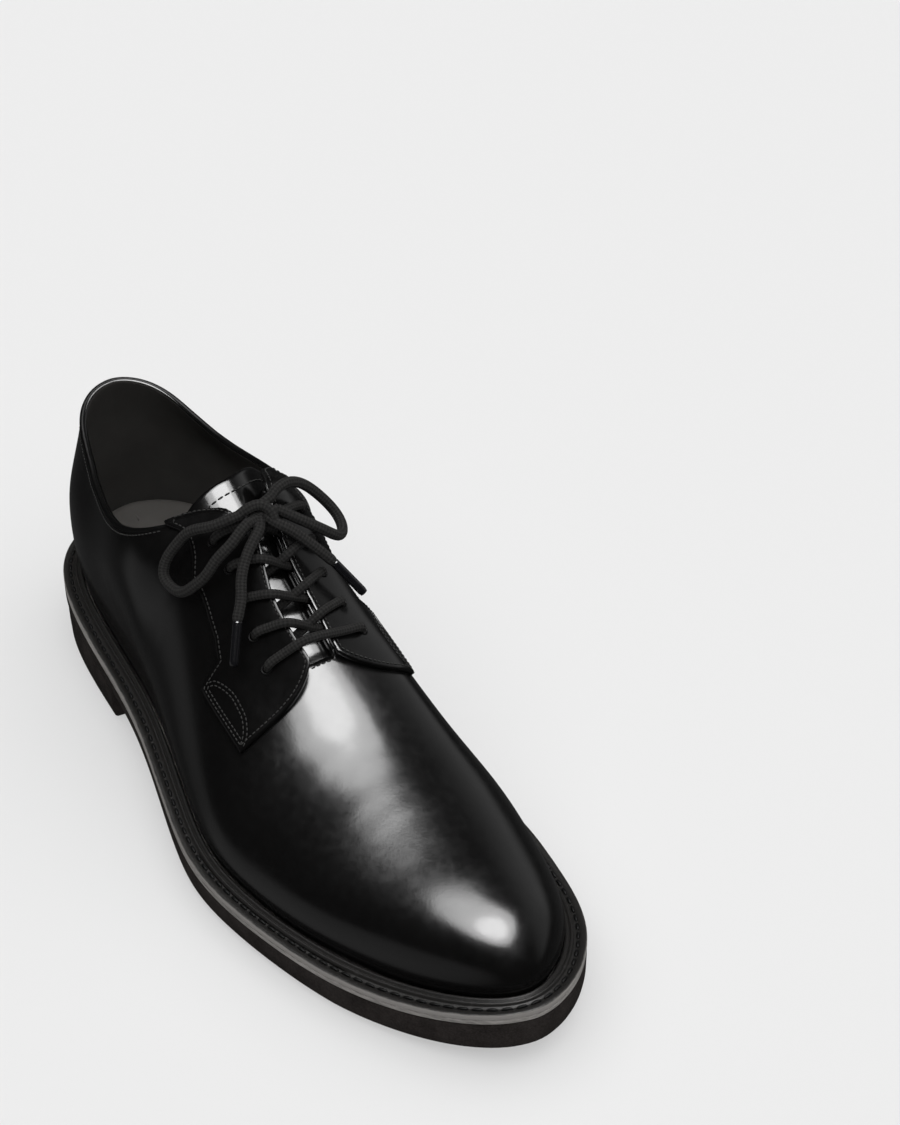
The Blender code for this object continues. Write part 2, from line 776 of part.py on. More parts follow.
def tongue_point(along, across, drop):
    """Point on the tongue: under the throat's edges, then straight on up past the collar."""
    side = SIDES["inner"] if across > 0.0 else SIDES["outer"]
    girth = abs(across)
    hidden = max(along, COLLAR_FRONT + 0.5 - girth ** 2 / (girth + 6.0))
    forward = throat_point(side, hidden + 1.0, girth) - throat_point(side, hidden - 0.5, girth)
    outward = throat_point(side, hidden, girth + 1.0) - throat_point(side, hidden, max(girth - 1.0, 0.0))
    normal = np.cross(forward, outward)
    normal *= math.copysign(1.0 / np.linalg.norm(normal), normal[2])
    beyond = hidden - along
    drop += TONGUE_EAR_DROP * (1.0 - smooth_step(along, COLLAR_FRONT, COLLAR_FRONT + 14.0))
    return throat_point(side, hidden, girth) - drop * normal + beyond * np.array([-1.0, 0.0, TONGUE_SLOPE])


def make_tongue(collection):
    """Tongue under the facings, sewn to the vamp, its rounded top standing above the collar."""
    form = bmesh.new()
    grid = []
    for share in np.linspace(0.0, 1.0, 13):
        line = []
        for across in np.linspace(-1.0, 1.0, 11):
            corner = 5.0 * abs(across) ** 3 * (1.0 - share)
            along = TONGUE_TOP + corner + (TONGUE_FOOT - TONGUE_TOP - corner) * share
            half = TONGUE_HALF_WIDTH * (1.0 - 0.25 * share)
            line.append(tongue_point(along, across * half, UPPER_WALL + TONGUE_CLEARANCE))
        grid.append(line)
    add_grid(form, grid)
    tongue = add_mesh("tongue", form, LEATHER, collection)
    middle = tongue.data.polygons[len(tongue.data.polygons) // 2]
    if middle.normal.z < 0.0:
        tongue.data.flip_normals()
    add_shell(tongue, TONGUE_LEATHER, -1.0)
    return tongue


# Lace

def lace_row_route(number):
    """Route of one row: from the outer eyelet over both facing edges to the inner eyelet."""
    along, height = EYELETS[number]
    route = []
    dip = 0.0 if number == 0 else 1.0
    for side, shares in ((SIDES["outer"], (0.0, 0.35, 0.7, 1.0)), (SIDES["inner"], (1.0, 0.7, 0.35, 0.0))):
        for share in shares:
            arc = height + (1.0 - height) * share
            route.append(upper_point(side, along + 2.5 * dip * share, min(arc, 0.995), LACE_LIFT))
    middle = (route[3] + route[4]) / 2.0
    middle[0] += 1.2 * dip
    middle[2] -= 0.6 * dip
    return route[:4] + [middle] + route[4:]


def make_knot(collection):
    """Knot of the bow, a plain rounded lump."""
    form = bmesh.new()
    bmesh.ops.create_uvsphere(form, u_segments=14, v_segments=9, radius=1.0)
    for vertex in form.verts:
        offset = [vertex.co[k] * KNOT_RADII[k] for k in range(3)]
        vertex.co = to_metres([KNOT_CENTRE[k] + offset[k] for k in range(3)])
    return add_mesh("lace_knot", form, CORD, collection)


def make_lace(collection):
    """Rows across the throat, the knot, two loops, two ends and their tips."""
    for number in range(len(EYELETS)):
        add_tube(f"lace_row_{number + 1}", lace_row_route(number), LACE_DIAMETER, CORD, collection, 1.0)
    make_knot(collection)
    add_tube("lace_loop_outer", LOOP_OUTER, LACE_DIAMETER, CORD, collection, 1.7)
    add_tube("lace_loop_inner", LOOP_INNER, LACE_DIAMETER, CORD, collection, 1.7)
    add_tube("lace_end_outer", END_OUTER, LACE_DIAMETER, CORD, collection, 1.7)
    add_tube("lace_end_inner", END_INNER, LACE_DIAMETER, CORD, collection, 1.7)
    add_tube("aglet_outer", AGLET_OUTER, AGLET_DIAMETER, PLASTIC, collection)
    add_tube("aglet_inner", AGLET_INNER, AGLET_DIAMETER, PLASTIC, collection)


def main():
    """Build the shoe."""
    clear_scene()
    shoe = bpy.data.collections.new("derby_shoe")
    bpy.context.scene.collection.children.link(shoe)
    make_outsole(shoe)
    make_heel(shoe)
    make_midsole(shoe)
    make_welt(shoe)
    make_insole(shoe)
    make_upper(shoe)
    make_tongue(shoe)
    make_facing(SIDES["outer"], shoe)
    make_facing(SIDES["inner"], shoe)
    make_lace(shoe)


main()
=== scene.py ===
"""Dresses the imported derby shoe: leather, sole, stitching, laces and a studio stage.

The file is laid out as a Blender add-on and is run as a script. The tables and shape functions
that follow are those of the solids, in millimetres, so every piece lies where its solid is.
"""
import functools
import math

import bpy
import bmesh
import numpy as np
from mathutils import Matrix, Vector


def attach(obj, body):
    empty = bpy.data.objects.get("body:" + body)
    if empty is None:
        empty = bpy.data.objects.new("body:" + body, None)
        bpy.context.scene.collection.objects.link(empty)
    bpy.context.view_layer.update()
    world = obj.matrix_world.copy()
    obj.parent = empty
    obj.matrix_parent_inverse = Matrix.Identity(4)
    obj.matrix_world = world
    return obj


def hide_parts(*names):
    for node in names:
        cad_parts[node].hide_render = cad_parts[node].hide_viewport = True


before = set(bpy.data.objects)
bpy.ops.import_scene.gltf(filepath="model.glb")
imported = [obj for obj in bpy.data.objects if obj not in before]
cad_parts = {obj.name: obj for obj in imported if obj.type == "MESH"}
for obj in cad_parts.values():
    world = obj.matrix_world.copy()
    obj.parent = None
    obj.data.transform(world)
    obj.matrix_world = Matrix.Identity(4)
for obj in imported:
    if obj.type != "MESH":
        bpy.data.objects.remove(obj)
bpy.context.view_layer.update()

bl_info = {
    "name": "Derby Shoe",
    "version": (1, 0, 0),
    "blender": (4, 5, 0),
    "location": "View3D > Sidebar > Shoe",
    "description": "Dresses a packed derby shoe with leather, sole, stitching and laces",
    "category": "Add Mesh",
}

MM = 0.001

# Driving sizes of the last and the sole
SOLE_LENGTH = 304.0
BALL_WIDTH = 104.5
HEEL_HEIGHT = 28.0
INSTEP_HEIGHT = 98.0
TOE_SPRING = 8.8
CENTRE_ACROSS = -6.25

# Thicknesses and gaps
GAP = 0.3
FACING_CLEARANCE = 0.55
TONGUE_CLEARANCE = 0.9
UPPER_WALL = 2.0
FACING_LEATHER = 1.4
TONGUE_LEATHER = 1.8
WELT_EDGE = 2.2
MIDSOLE_EDGE = 2.7
OUTSOLE_EDGE = 4.5

# Sole stations
HEEL_BREAST_OUTER = 87.0
HEEL_BREAST_INNER = 94.0
SHANK_START = 130.0
TREAD_START = 188.0
TREAD_END = 240.0

# Upper stations
HEEL_CENTRE = 48.0
HEEL_UNROLLED = 58.0
COLLAR_FRONT = 121.0
THROAT_END = 172.5
TOE_START = 250.0

# Lace
LACE_DIAMETER = 3.8
AGLET_DIAMETER = 3.4

# Sole edge as shares of the sole length and of the ball width.
# Columns: along, across. It runs up the outer side to the toe and back down the inner side.
SOLE_EDGE = (
    (0.000, -0.005),
    (0.043, -0.258),
    (0.138, -0.381),
    (0.280, -0.421),
    (0.388, -0.450),
    (0.526, -0.529),
    (0.635, -0.560),
    (0.773, -0.476),
    (0.901, -0.309),
    (1.000, -0.010),
    (0.934, 0.292),
    (0.822, 0.411),
    (0.714, 0.440),
    (0.566, 0.354),
    (0.401, 0.254),
    (0.280, 0.306),
    (0.138, 0.368),
    (0.039, 0.249),
)

# Height of the welt's top. Columns: along as a share of the length, height as a share of the heel.
WELT_TOP = (
    (0.000, 1.000),
    (0.138, 0.939),
    (0.263, 0.832),
    (0.378, 0.725),
    (0.526, 0.571),
    (0.641, 0.493),
    (0.773, 0.500),
    (0.905, 0.607),
    (1.000, 0.839),
)

# Sections of the upper. along: share of the length, unrolled round the heel below the heel centre.
# welt and tuck (mm): feather line in from the sole edge, girth line out from the feather line.
# girth (mm): girth line above the feather line. reach: half width of the top edge as a share of
# the girth line's. top: share of the instep height. lean: degrees from upright at the top edge.
# full: roundness of each side. ridge (mm): centre line of the top.
SECTION_COLUMNS = ("along", "welt_outer", "welt_inner", "tuck_outer", "tuck_inner", "girth",
                   "reach", "top", "lean", "full_outer", "full_inner", "ridge")
SECTIONS = (
    (-0.033, 7.5, 7.5, 2.2, 2.2, 24.0, 0.965, 0.934, 8, 0.50, 0.50, 0.0),
    (0.015, 8.0, 7.5, 2.6, 2.5, 24.5, 0.905, 0.907, 13, 0.51, 0.50, 0.0),
    (0.0625, 8.5, 7.5, 3.0, 2.8, 25.0, 0.780, 0.857, 21, 0.52, 0.50, 0.0),
    (0.112, 8.6, 7.3, 3.0, 3.3, 24.5, 0.725, 0.823, 26, 0.52, 0.50, 0.0),
    (0.158, 8.7, 7.0, 3.0, 4.0, 24.0, 0.745, 0.806, 27, 0.52, 0.50, 0.0),
    (0.237, 8.7, 5.5, 2.2, 6.2, 22.0, 0.855, 0.812, 24, 0.50, 0.52, 0.0),
    (0.316, 8.7, 4.0, 2.0, 7.5, 20.0, 0.800, 0.880, 42, 0.47, 0.56, 0.0),
    (0.349, 8.7, 3.7, 2.0, 7.6, 18.8, 0.610, 0.934, 54, 0.44, 0.58, 0.2),
    (0.372, 8.7, 3.6, 2.0, 7.6, 17.9, 0.350, 0.976, 66, 0.42, 0.59, 0.3),
    (0.398, 8.7, 3.5, 2.0, 7.5, 17.0, 0.140, 1.000, 75, 0.40, 0.60, 0.5),
    (0.477, 8.7, 4.0, 2.0, 6.5, 14.0, 0.130, 0.847, 80, 0.34, 0.63, 0.0),
    (0.553, 8.6, 5.0, 1.8, 5.2, 11.0, 0.120, 0.709, 82, 0.30, 0.65, 0.5),
    (0.641, 8.4, 7.0, 1.8, 3.5, 9.0, 0.120, 0.574, 83, 0.33, 0.63, 2.5),
    (0.730, 8.2, 7.5, 2.0, 2.3, 8.5, 0.120, 0.505, 84, 0.44, 0.56, 2.0),
    (0.822, 7.8, 7.5, 2.0, 1.8, 8.5, 0.120, 0.464, 84, 0.54, 0.52, 1.0),
    (0.987, 7.5, 7.5, 2.0, 2.0, 7.5, 0.120, 0.398, 84, 0.55, 0.55, 0.0),
)
HEEL_MIRRORED_ROWS = 3

# Profile of the toe box in front of TOE_START. Columns: along (share), height (share of instep).
TOE_PROFILE = (
    (0.891, 0.449),
    (0.934, 0.413),
    (0.9605, 0.371),
    (0.975, 0.330),
)

# Facing outline, a row for each line from the throat edge out to the seam.
# Columns: along at the throat edge (mm), along at the seam (mm), height of the seam on the side
# arc (0 at the girth line, 1 at the top edge).
FACING_ROWS = (
    (120.0, 106.5, 0.995),
    (126.0, 116.5, 0.810),
    (132.0, 127.0, 0.627),
    (142.0, 138.0, 0.627),
    (150.0, 146.0, 0.627),
    (155.5, 151.5, 0.600),
    (160.0, 152.0, 0.458),
    (166.0, 165.5, 0.475),
    (172.5, 179.0, 0.492),
)
FACING_FRONT_BULGE = 4.8

# Eyelets. Columns: along (mm), height on the side arc.
EYELETS = (
    (166.5, 0.785),
    (156.0, 0.820),
    (145.5, 0.840),
    (135.5, 0.815),
    (125.5, 0.814),
)

# Tongue
TONGUE_TOP = 107.0
TONGUE_FOOT = 181.0
TONGUE_SLOPE = 0.56
TONGUE_EAR_DROP = 1.0

# Routes of the tied ends: along, across, up (mm)
KNOT_CENTRE = (132.8, -0.6, 104.6)
LOOP_OUTER = (
    (131.6, -6.8, 104.2),
    (130.8, -11.0, 103.2),
    (128.0, -16.8, 100.9),
    (122.7, -21.9, 97.6),
    (119.8, -26.2, 91.9),
    (118.6, -29.6, 86.6),
    (120.3, -31.8, 81.6),
    (124.4, -31.4, 79.4),
    (129.4, -29.8, 79.6),
    (133.4, -27.0, 83.4),
    (136.4, -23.2, 88.6),
    (137.0, -19.8, 93.2),
    (137.6, -13.4, 98.8),
    (136.6, -9.4, 101.6),
    (135.7, -6.0, 103.3),
)
LOOP_INNER = (
    (130.0, 5.2, 106.0),
    (128.4, 8.6, 107.4),
    (126.8, 13.0, 107.4),
    (125.6, 17.8, 105.4),
    (125.3, 22.4, 101.5),
    (126.0, 26.2, 97.0),
    (127.6, 29.0, 93.0),
    (130.5, 30.5, 89.7),
    (134.4, 30.0, 87.8),
    (138.2, 27.7, 87.9),
    (140.9, 24.4, 89.9),
    (141.6, 20.6, 93.2),
    (140.6, 16.2, 96.7),
    (138.6, 11.8, 99.7),
    (136.3, 8.2, 102.0),
    (134.2, 5.5, 103.6),
)
END_OUTER = (
    (137.6, -2.9, 101.6),
    (140.4, -6.8, 99.0),
    (143.6, -12.0, 94.4),
    (147.0, -15.4, 89.9),
    (151.0, -17.9, 85.2),
    (154.4, -21.2, 80.8),
)
AGLET_OUTER = ((154.9, -21.6, 80.2), (163.0, -27.8, 69.6))
END_INNER = (
    (137.6, 2.1, 102.0),
    (140.8, 5.8, 99.6),
    (144.4, 10.2, 95.6),
    (147.6, 14.0, 91.4),
    (150.4, 17.2, 87.6),
)
AGLET_INNER = ((150.8, 17.7, 87.0), (158.2, 24.8, 76.0))

# Fine sampling of the upper: steps along heel, quarters, throat, vamp and toe, and round a section
HEEL_STEPS = 40
QUARTER_STEPS = 40
THROAT_STEPS = 30
VAMP_STEPS = 46
TOE_STEPS = 32
BAND_STEPS = 7
ARC_STEPS = 49
CAP_STEPS = 4

# Fine sampling of the other pieces: steps along a path (mm), sides of a tube, places along a line
LACE_STEP = 0.7
CORD_STEP = 0.8
TIP_STEP = 0.5
BEAD_STEP = 1.0
OUTLINE_STEP = 0.4
LACE_SIDES = 16
BEAD_SIDES = 12
SEAM_SIDES = 10
COLLAR_STEPS = 120
SEAM_STEPS = 40
LAYER_STEPS = 150
WELT_STEPS = 170
BLOCK_STEPS = 70
FACING_COLUMNS = 33
FACING_ROW_STEPS = 8
FACING_EDGE_ROWS = (0.004, 0.010, 0.986, 0.994)
FACING_EDGE_COLUMNS = (0.008, 0.018, 0.982, 0.992)
EAR_STEPS = (1.0, 0.97, 0.9, 0.75, 0.5, 0.25)
MOON_STEPS = 60
EYELET_TURNS = 24
EYELET_ROLLS = 8
TONGUE_COLUMNS = 33
TONGUE_EDGE_ROWS = (0.0, 0.006, 0.014)
TONGUE_FIRST_ROW = 0.025
TONGUE_ROWS = 44
TONGUE_SMOOTHING = 14
VAMP_STITCH_STEPS = 8
EDGE_STEPS = 60
CURVE_STEPS = 40
# Tubes: rise of the domed ends (share of the radius) and a direction that no path follows
TUBE_DOME = 0.3
TUBE_ACROSS = (0.31, 0.23, 0.92)

# Creases of the vamp. Columns: along at the ridge (mm), backward slant at the sides (mm), depth (mm),
# half width (mm), reach down the outer side and down the inner side (share of the arc).
CREASES = (
    (183.0, 5.0, 0.12, 5.0, 0.42, 0.50),
    (195.5, 2.0, 0.15, 4.4, 0.58, 0.42),
    (206.0, -3.0, 0.11, 3.4, 0.38, 0.60),
    (216.5, 4.0, 0.13, 4.6, 0.62, 0.38),
    (226.5, -3.0, 0.09, 3.4, 0.36, 0.55),
    (236.5, -2.0, 0.07, 3.6, 0.36, 0.46),
)
# Share of the reach where a crease starts to fade, height and width of the swelling beside it (shares)
CREASE_FADE = 0.35
CREASE_SWELL = 0.55
CREASE_SWELL_WIDTH = 2.3
# Smoothing of the rows round the start of the toe box: half length (mm) and rounds
TOE_BLEND = 14.0
TOE_BLEND_STEPS = 60
# Fullness of the toe box. Columns: along (mm), half length (mm), half width on the outer and on the
# inner side (share of the arc), rise (mm).
TOE_SWELLS = ((285.0, 6.2, 0.32, 0.42, 1.3), (268.0, 11.0, 0.50, 0.16, 0.6))
# Dents of the outer side. Columns: along (mm), height on the side arc, half length (mm), half height
# (share of the arc), depth (mm).
SIDE_DENTS = (
    (206.0, 0.16, 11.0, 0.12, 0.55),
    (188.0, 0.22, 9.0, 0.10, -0.35),
)

# Facings: height of the top and of the foot and roundness of the cut edge (mm), and the leather by side: the
# outer facing gets a copy of the leather with less shine, painted shade
FACING_TOP = FACING_CLEARANCE + FACING_LEATHER
FACING_FOOT = 0.05
FACING_EDGE_ROUND = 0.7
FACING_SHADE_BY_SIDE = {"outer": "facing_leather", "inner": "leather"}
# How the facings stand up: arc share where they start to, and by side the rise at the throat (mm), the
# flare of the ear (mm) and the overlap of the throat (arc share)
FACING_HINGE = 0.66
FACING_STAND = {"outer": (4.2, 0.0, 0.006), "inner": (1.8, 1.5, 0.0)}
# Rows of the facing (shares) between which the overlap comes and goes
OVERLAP_COMES = (0.0, 0.4)
OVERLAP_GOES = (0.5, 1.0)
# Ears: rise above the collar by side (mm), cut of the corner and its width (shares), half wave of the top
# (start, run and power), row that gives the rise's direction, lean of the rise, gap left in the stitches at
# the corner (mm), arc shares of the flare
EAR_RISE = {"outer": 1.8, "inner": 5.0}
EAR_CORNER = 0.02
EAR_CORNER_RUN = 0.22
EAR_WAVE_START = 0.16
EAR_WAVE_RUN = 0.84
EAR_WAVE_POWER = 0.6
EAR_ROW = 6
EAR_LEAN = (0.0, 0.0, 0.15)
EAR_STITCH_GAP = 4.5
EAR_FLARE_SHARES = (0.8, 1.0)
# Cut of the top edge at the ears: arc share, then stations where it starts, is full, fades and ends (mm)
EAR_CUT = {"outer": (0.012, 100.0, 111.0, 122.0, 132.0), "inner": (0.032, 102.0, 114.0, 126.0, 146.0)}
# Flare of the inner ear: along (mm), half length (mm), half width (share of the side), out (mm)
EAR_FLARE = (116.0, 15.0, 0.26, 3.6)
# Stations where the ears' flare fades and where the facings start to stand up (mm)
EAR_FADE = (COLLAR_FRONT - 4.0, COLLAR_FRONT + 9.0)
STAND_RUN = (COLLAR_FRONT - 5.0, COLLAR_FRONT + 13.0)
# Rows of lace: radius of a strand, its gap over the facing, height of its start under the far facing by
# the near side, length over which it narrows (mm), narrowing (share)
ROW_RADIUS = 1.6
ROW_CLEARANCE = 0.08
ROW_UNDER = {"outer": 0.7, "inner": 0.0}
ROW_TAPER_RUN = 3.5
ROW_TAPER = 0.22
# Strand on the far facing: share of the pitch, arc share, lift (mm) at its start and at the edge
STRAND_START = (0.80, 0.935, -0.6)
STRAND_EDGE = (0.70, 0.99, 0.0)
# Strand on the near facing: shares of the pitch at the edge, half way and at the turn into the eyelet, and
# the same for the straight bar (mm)
STRAND_STEPS = (0.36, 0.16, 0.02)
BAR_STEPS = (1.0, 0.5, 0.0)
# Arc share of the strands at the edge; above the eyelet's middle (arc share) and lift (mm) at the turn and
# at the end
STRAND_EDGE_SHARE = 0.992
EYELET_TURN = (0.022, -0.2)
EYELET_END = (0.004, -2.2)
# Ends of the bow: start on the way from the knot's middle (share), places inside the tip (shares), squeeze
# of the lace there (share) and depths where that starts and is full (mm)
END_START = 0.45
END_IN_TIP = (0.35, 0.6)
TIP_SQUEEZE = 0.26
TIP_SQUEEZE_RUN = (-1.6, 0.6)
# Tips: width and narrowing at the end (shares of the aglet's) and length of that (mm)
TIP_WIDTH = 0.94
TIP_TAPER = 0.14
TIP_TAPER_RUN = 1.2
# Tongue: half width by side at its top and half width at its foot, reach past the collar (mm)
TONGUE_SPREAD = {"outer": 20.0, "inner": 27.0}
TONGUE_FOOT_HALF = 14.0
TONGUE_REACH = 15.0
# Its top edge, as shares: fall of each side and its power, cut of the corners and its power, thinning
TONGUE_FALL = {"outer": (0.8, 1.6), "inner": (0.22, 2)}
TONGUE_CORNER = 0.55
TONGUE_CORNER_POWER = 14
TONGUE_PINCH = 0.45
# Lip of the outsole over the foot of the midsole (mm)
OUTSOLE_LIP = 1.3
# Toe of the sole: wider ledge and thicker tread, and where they start and are full (mm)
TOE_LEDGE = 1.6
TOE_LEDGE_RUN = (205.0, 290.0)
TOE_TREAD = 2.0
TOE_TREAD_RUN = (225.0, 295.0)
# Sock over the insole: thickness at the heel and at the ball, and where it thins (mm)
SOCK_HEEL = 9.0
SOCK_BALL = 3.4
SOCK_SLOPE = (70.0, 170.0)
# Stitches: length, pitch and width, and distances of the rows from the edges (mm). A row inside a bend is
# kept where it is this share of its distance away. The tip's row starts behind and below the half moon.
INSET_KEPT = 0.97
TIP_ROW_BEHIND = 4.0
TIP_ROW_BELOW = 0.01
FACING_STITCH_INSET = 1.6
TIP_STITCH_INSET = 2.9
STITCH_LENGTH = 1.3
STITCH_PITCH = 1.75
STITCH_WIDTH = 0.5
WELT_STITCH_LENGTH = 3.6
WELT_STITCH_PITCH = 4.6
WELT_STITCH_INSET = 2.9
WELT_STITCH_ROOM = 3.4
# Shape of a stitch: rise off the leather and flatness (shares of its width), sides
STITCH_RISE = 0.3
STITCH_FLAT = 0.75
STITCH_SIDES = 6
# Stitch along its length: place, thickness and sink as shares
STITCH_PROFILE = ((-0.5, 0.30, -0.55), (-0.34, 0.86, 0.0), (0.0, 1.0, 0.25), (0.34, 0.86, 0.0),
                  (0.5, 0.30, -0.55))
# Stitches of the tongue: length, pitch and width (mm), columns left free at each end
TONGUE_STITCH = (2.2, 2.8, 0.6)
TONGUE_STITCH_ENDS = 3
# Stitches of the vamp: length, pitch and width (mm), direction that they face
VAMP_STITCH = (1.5, 2.0, 0.5)
VAMP_STITCH_UP = (0.45, 0.0, 0.9)
# Eyelets: radius to the middle of the rolled edge, radius of the roll (mm)
EYELET_RADIUS = 1.65
EYELET_ROLL = 0.3
# Half moon sewn beside the facing's tip. Columns: along (mm), height on the side arc.
HALF_MOON = (
    (155.0, 0.508),
    (157.0, 0.542),
    (163.0, 0.576),
    (168.0, 0.578),
    (172.0, 0.572),
    (176.0, 0.542),
    (177.5, 0.508),
)
# Distances of its second row and of the tongue's and the vamp's rows; bead and row of the collar (mm)
HALF_MOON_ROW_GAP = 1.4
TONGUE_STITCH_INSET = 5.0
VAMP_STITCH_INSET = 1.4
COLLAR_BEAD_RADIUS = 1.1
COLLAR_BEAD_LIFT = 0.1
COLLAR_STITCH_INSET = 3.0
# Back seam: arc shares of its ends, rise, radius of its bead and distance of its stitch rows (mm)
BACK_SEAM_RUN = (0.02, 0.95)
BACK_SEAM_RISE = 0.35
BACK_SEAM_RADIUS = 0.8
BACK_SEAM_ROW = 2.4

# Range that most of a noise lies in
NOISE_RANGE = (0.3, 0.7)

# Camera, fitted to the outlines of the shoe (mm, degrees), and how far it sees (m)
CAMERA_TARGET = (-35.5, 91.5, 40.0)
CAMERA_AZIMUTH = 58.13
CAMERA_ELEVATION = 35.92
CAMERA_DISTANCE = 766.6
CAMERA_LENS = 64.8
CAMERA_CLIP = 50.0

# Knot strands: along, across, up (mm)
KNOT_OVER = ((131.4, -7.4, 104.0), (132.2, -3.6, 106.3), (133.8, 0.2, 106.9), (136.0, 2.2, 105.0),
             (137.9, 2.6, 101.6))
KNOT_UNDER = ((136.0, -7.0, 102.9), (134.9, -2.5, 103.0), (134.2, 2.0, 103.4), (134.3, 6.0, 103.4))
KNOT_WRAP = ((129.8, 5.8, 106.1), (130.9, 2.2, 105.4), (131.6, -1.6, 103.4), (134.2, -3.0, 102.6),
             (137.8, -3.1, 101.4))

# Profiles of the sole's layers. Columns: inset from the edge (mm), share of the height.
OUTSOLE_PROFILE = ((7.0, 0.0), (3.0, 0.0), (1.7, 0.035), (0.8, 0.11), (0.25, 0.22), (0.0, 0.36), (0.0, 0.86),
                   (0.12, 0.94), (0.45, 1.0), (7.0, 1.0))
MIDSOLE_PROFILE = ((7.0, 0.0), (0.5, 0.0), (0.2, 0.07), (0.1, 0.2), (0.08, 0.85), (0.3, 1.0), (7.0, 1.0))
HEEL_PROFILE = ((6.0, 0.0), (1.9, 0.0), (1.1, 0.04), (0.7, 0.10), (0.45, 0.5), (0.4, 0.93), (0.7, 1.0),
                (6.0, 1.0))

# Sock section: share of the thickness, in from the wall (mm)
SOCK_PROFILE = ((0.0, 0.8), (0.6, 0.7), (0.95, 0.7), (1.08, 1.6), (1.04, 3.5), (0.98, 7.0), (0.92, 12.0))

# Welt section. Ribs: out from the upper and above the ledge (mm). Ledge: in from the edge and below
# the ledge (mm).
WELT_RIB = 1.7
WELT_GROOVE = 0.35
WELT_STITCH_WIDTH = 1.15
WELT_RIBS = ((0.0, 1.3), (0.35, 1.62), (0.8, 1.7), (1.2, 1.5), (1.5, 0.85), (1.7, 0.75), (1.95, 1.15),
             (2.3, 1.3), (2.7, 1.15), (3.0, 0.5), (3.15, 0.0))
WELT_LEDGE = ((3.85, 0.0), (3.6, 0.22), (3.2, 0.35), (2.6, 0.35), (2.2, 0.22), (1.95, 0.0), (0.6, 0.0),
              (0.2, 0.12), (0.0, 0.5), (0.0, 1.9), (0.25, 2.2))
# Stain of its last rows, gap to the upper beyond the common one (mm), widths between which the ribs grow
# (mm), least gap between rows (mm)
WELT_EDGE_STAIN = (0.35, 1.0, 1.0, 1.0)
WELT_CLEARANCE = 0.15
WELT_RIB_RUN = (4.0, 7.0)
WELT_ROW_GAP = 0.03

# Overhead softbox: directions it shines from and widths (degrees) of its soft rim, of its light on matte
# surfaces and of its middle
HALO_FROM = (0.094, 0.02, 1.0)
HALO_ANGLE = 62.0
LIGHT_ANGLE = 110.0
CORE_FROM = (0.158, 0.02, 1.0)
CORE_ANGLE = 38.0

# Sky by direction: sideways and upward parts between which the glow of the inner side and of the floor on
# the outer side change, and upward parts for the floor below
INNER_GLOW = ((0.6, 0.95), (-0.05, 0.15))
OUTER_GLOW = ((-0.92, -0.5), (-0.05, 0.12))
BELOW_GLOW = (-0.35, 0.0)
WHITE = (1.0, 1.0, 1.0, 1.0)
BLACK = (0.0, 0.0, 0.0, 1.0)

# Floor and backdrop: drop of the floor (m), wall's sides, its foot and top (m), radius as a share of the
# floor
FLOOR_DROP = 0.0003
BACKDROP_SIDES = 96
BACKDROP_HEIGHTS = (-0.01, 8.0)
BACKDROP_REACH = 0.49


# Curves through table rows

def spline_slopes(knots, values, closed):
    """Second derivatives of the smooth curve through the rows."""
    count = len(values)
    steps = np.diff(knots)
    matrix = np.zeros((count, count))
    right = np.zeros(values.shape)
    rows = range(count) if closed else range(1, count - 1)
    if not closed:
        matrix[0, 0] = 1.0
        matrix[-1, -1] = 1.0
    for i in rows:
        before = (i - 1) % count
        after = (i + 1) % count
        matrix[i, before] += steps[before]
        matrix[i, i] += 2.0 * (steps[before] + steps[i])
        matrix[i, after] += steps[i]
        ahead = (values[after] - values[i]) / steps[i]
        behind = (values[i] - values[before]) / steps[before]
        right[i] = 6.0 * (ahead - behind)
    return np.linalg.solve(matrix, right)


def spline_at(knots, values, bend, at):
    """Smooth curve with known second derivatives, at the given places."""
    at = np.atleast_1d(np.asarray(at, float))
    left = np.clip(np.searchsorted(knots, at) - 1, 0, len(knots) - 2)
    step = knots[left + 1] - knots[left]
    a = (knots[left + 1] - at) / step
    b = (at - knots[left]) / step
    if values.ndim > 1:
        a, b, step = a[:, None], b[:, None], step[:, None]
    line = a * values[left] + b * values[left + 1]
    return line + ((a**3 - a) * bend[left] + (b**3 - b) * bend[left + 1]) * step**2 / 6.0


def spline(knots, values, at, closed=False):
    """Smooth curve through the rows; a closed one has one more knot than rows."""
    knots = np.asarray(knots, float)
    values = np.asarray(values, float)
    bend = spline_slopes(knots, values, closed)
    if closed:
        values = np.concatenate([values, values[:1]])
        bend = np.concatenate([bend, bend[:1]])
    return spline_at(knots, values, bend, at)


def chord_lengths(points, power=1.0):
    """Running length along the points, each chord raised to a power."""
    chords = np.linalg.norm(np.diff(points, axis=0), axis=1) ** power
    return np.concatenate([[0.0], np.cumsum(chords)])


def rows_at(places, knots, values):
    """Rows of values at places between their knots."""
    return np.column_stack([np.interp(places, knots, column) for column in values.T])


def bell(*distances):
    """Bell curve of distances counted in half widths: 1 in the middle, 0 far off."""
    return np.exp(-0.5 * sum(distance**2 for distance in distances))


def smooth_step(value, low, high):
    """0 below low, 1 above high, eased between."""
    share = np.clip((value - low) / (high - low), 0.0, 1.0)
    return share * share * (3.0 - 2.0 * share)


# The last: outlines, heights and the arcs of the upper

@functools.lru_cache(maxsize=None)
def section_curve(column):
    """Knots, values and bends of one column of SECTIONS; mirrored rows round off the heel."""
    rows = np.array(SECTIONS)
    mirrored = rows[HEEL_MIRRORED_ROWS:0:-1].copy()
    mirrored[:, 0] = 2.0 * rows[0, 0] - mirrored[:, 0]
    rows = np.concatenate([mirrored, rows])
    knots = rows[:, 0] * SOLE_LENGTH
    values = rows[:, SECTION_COLUMNS.index(column)]
    return knots, values, spline_slopes(knots, values, False)


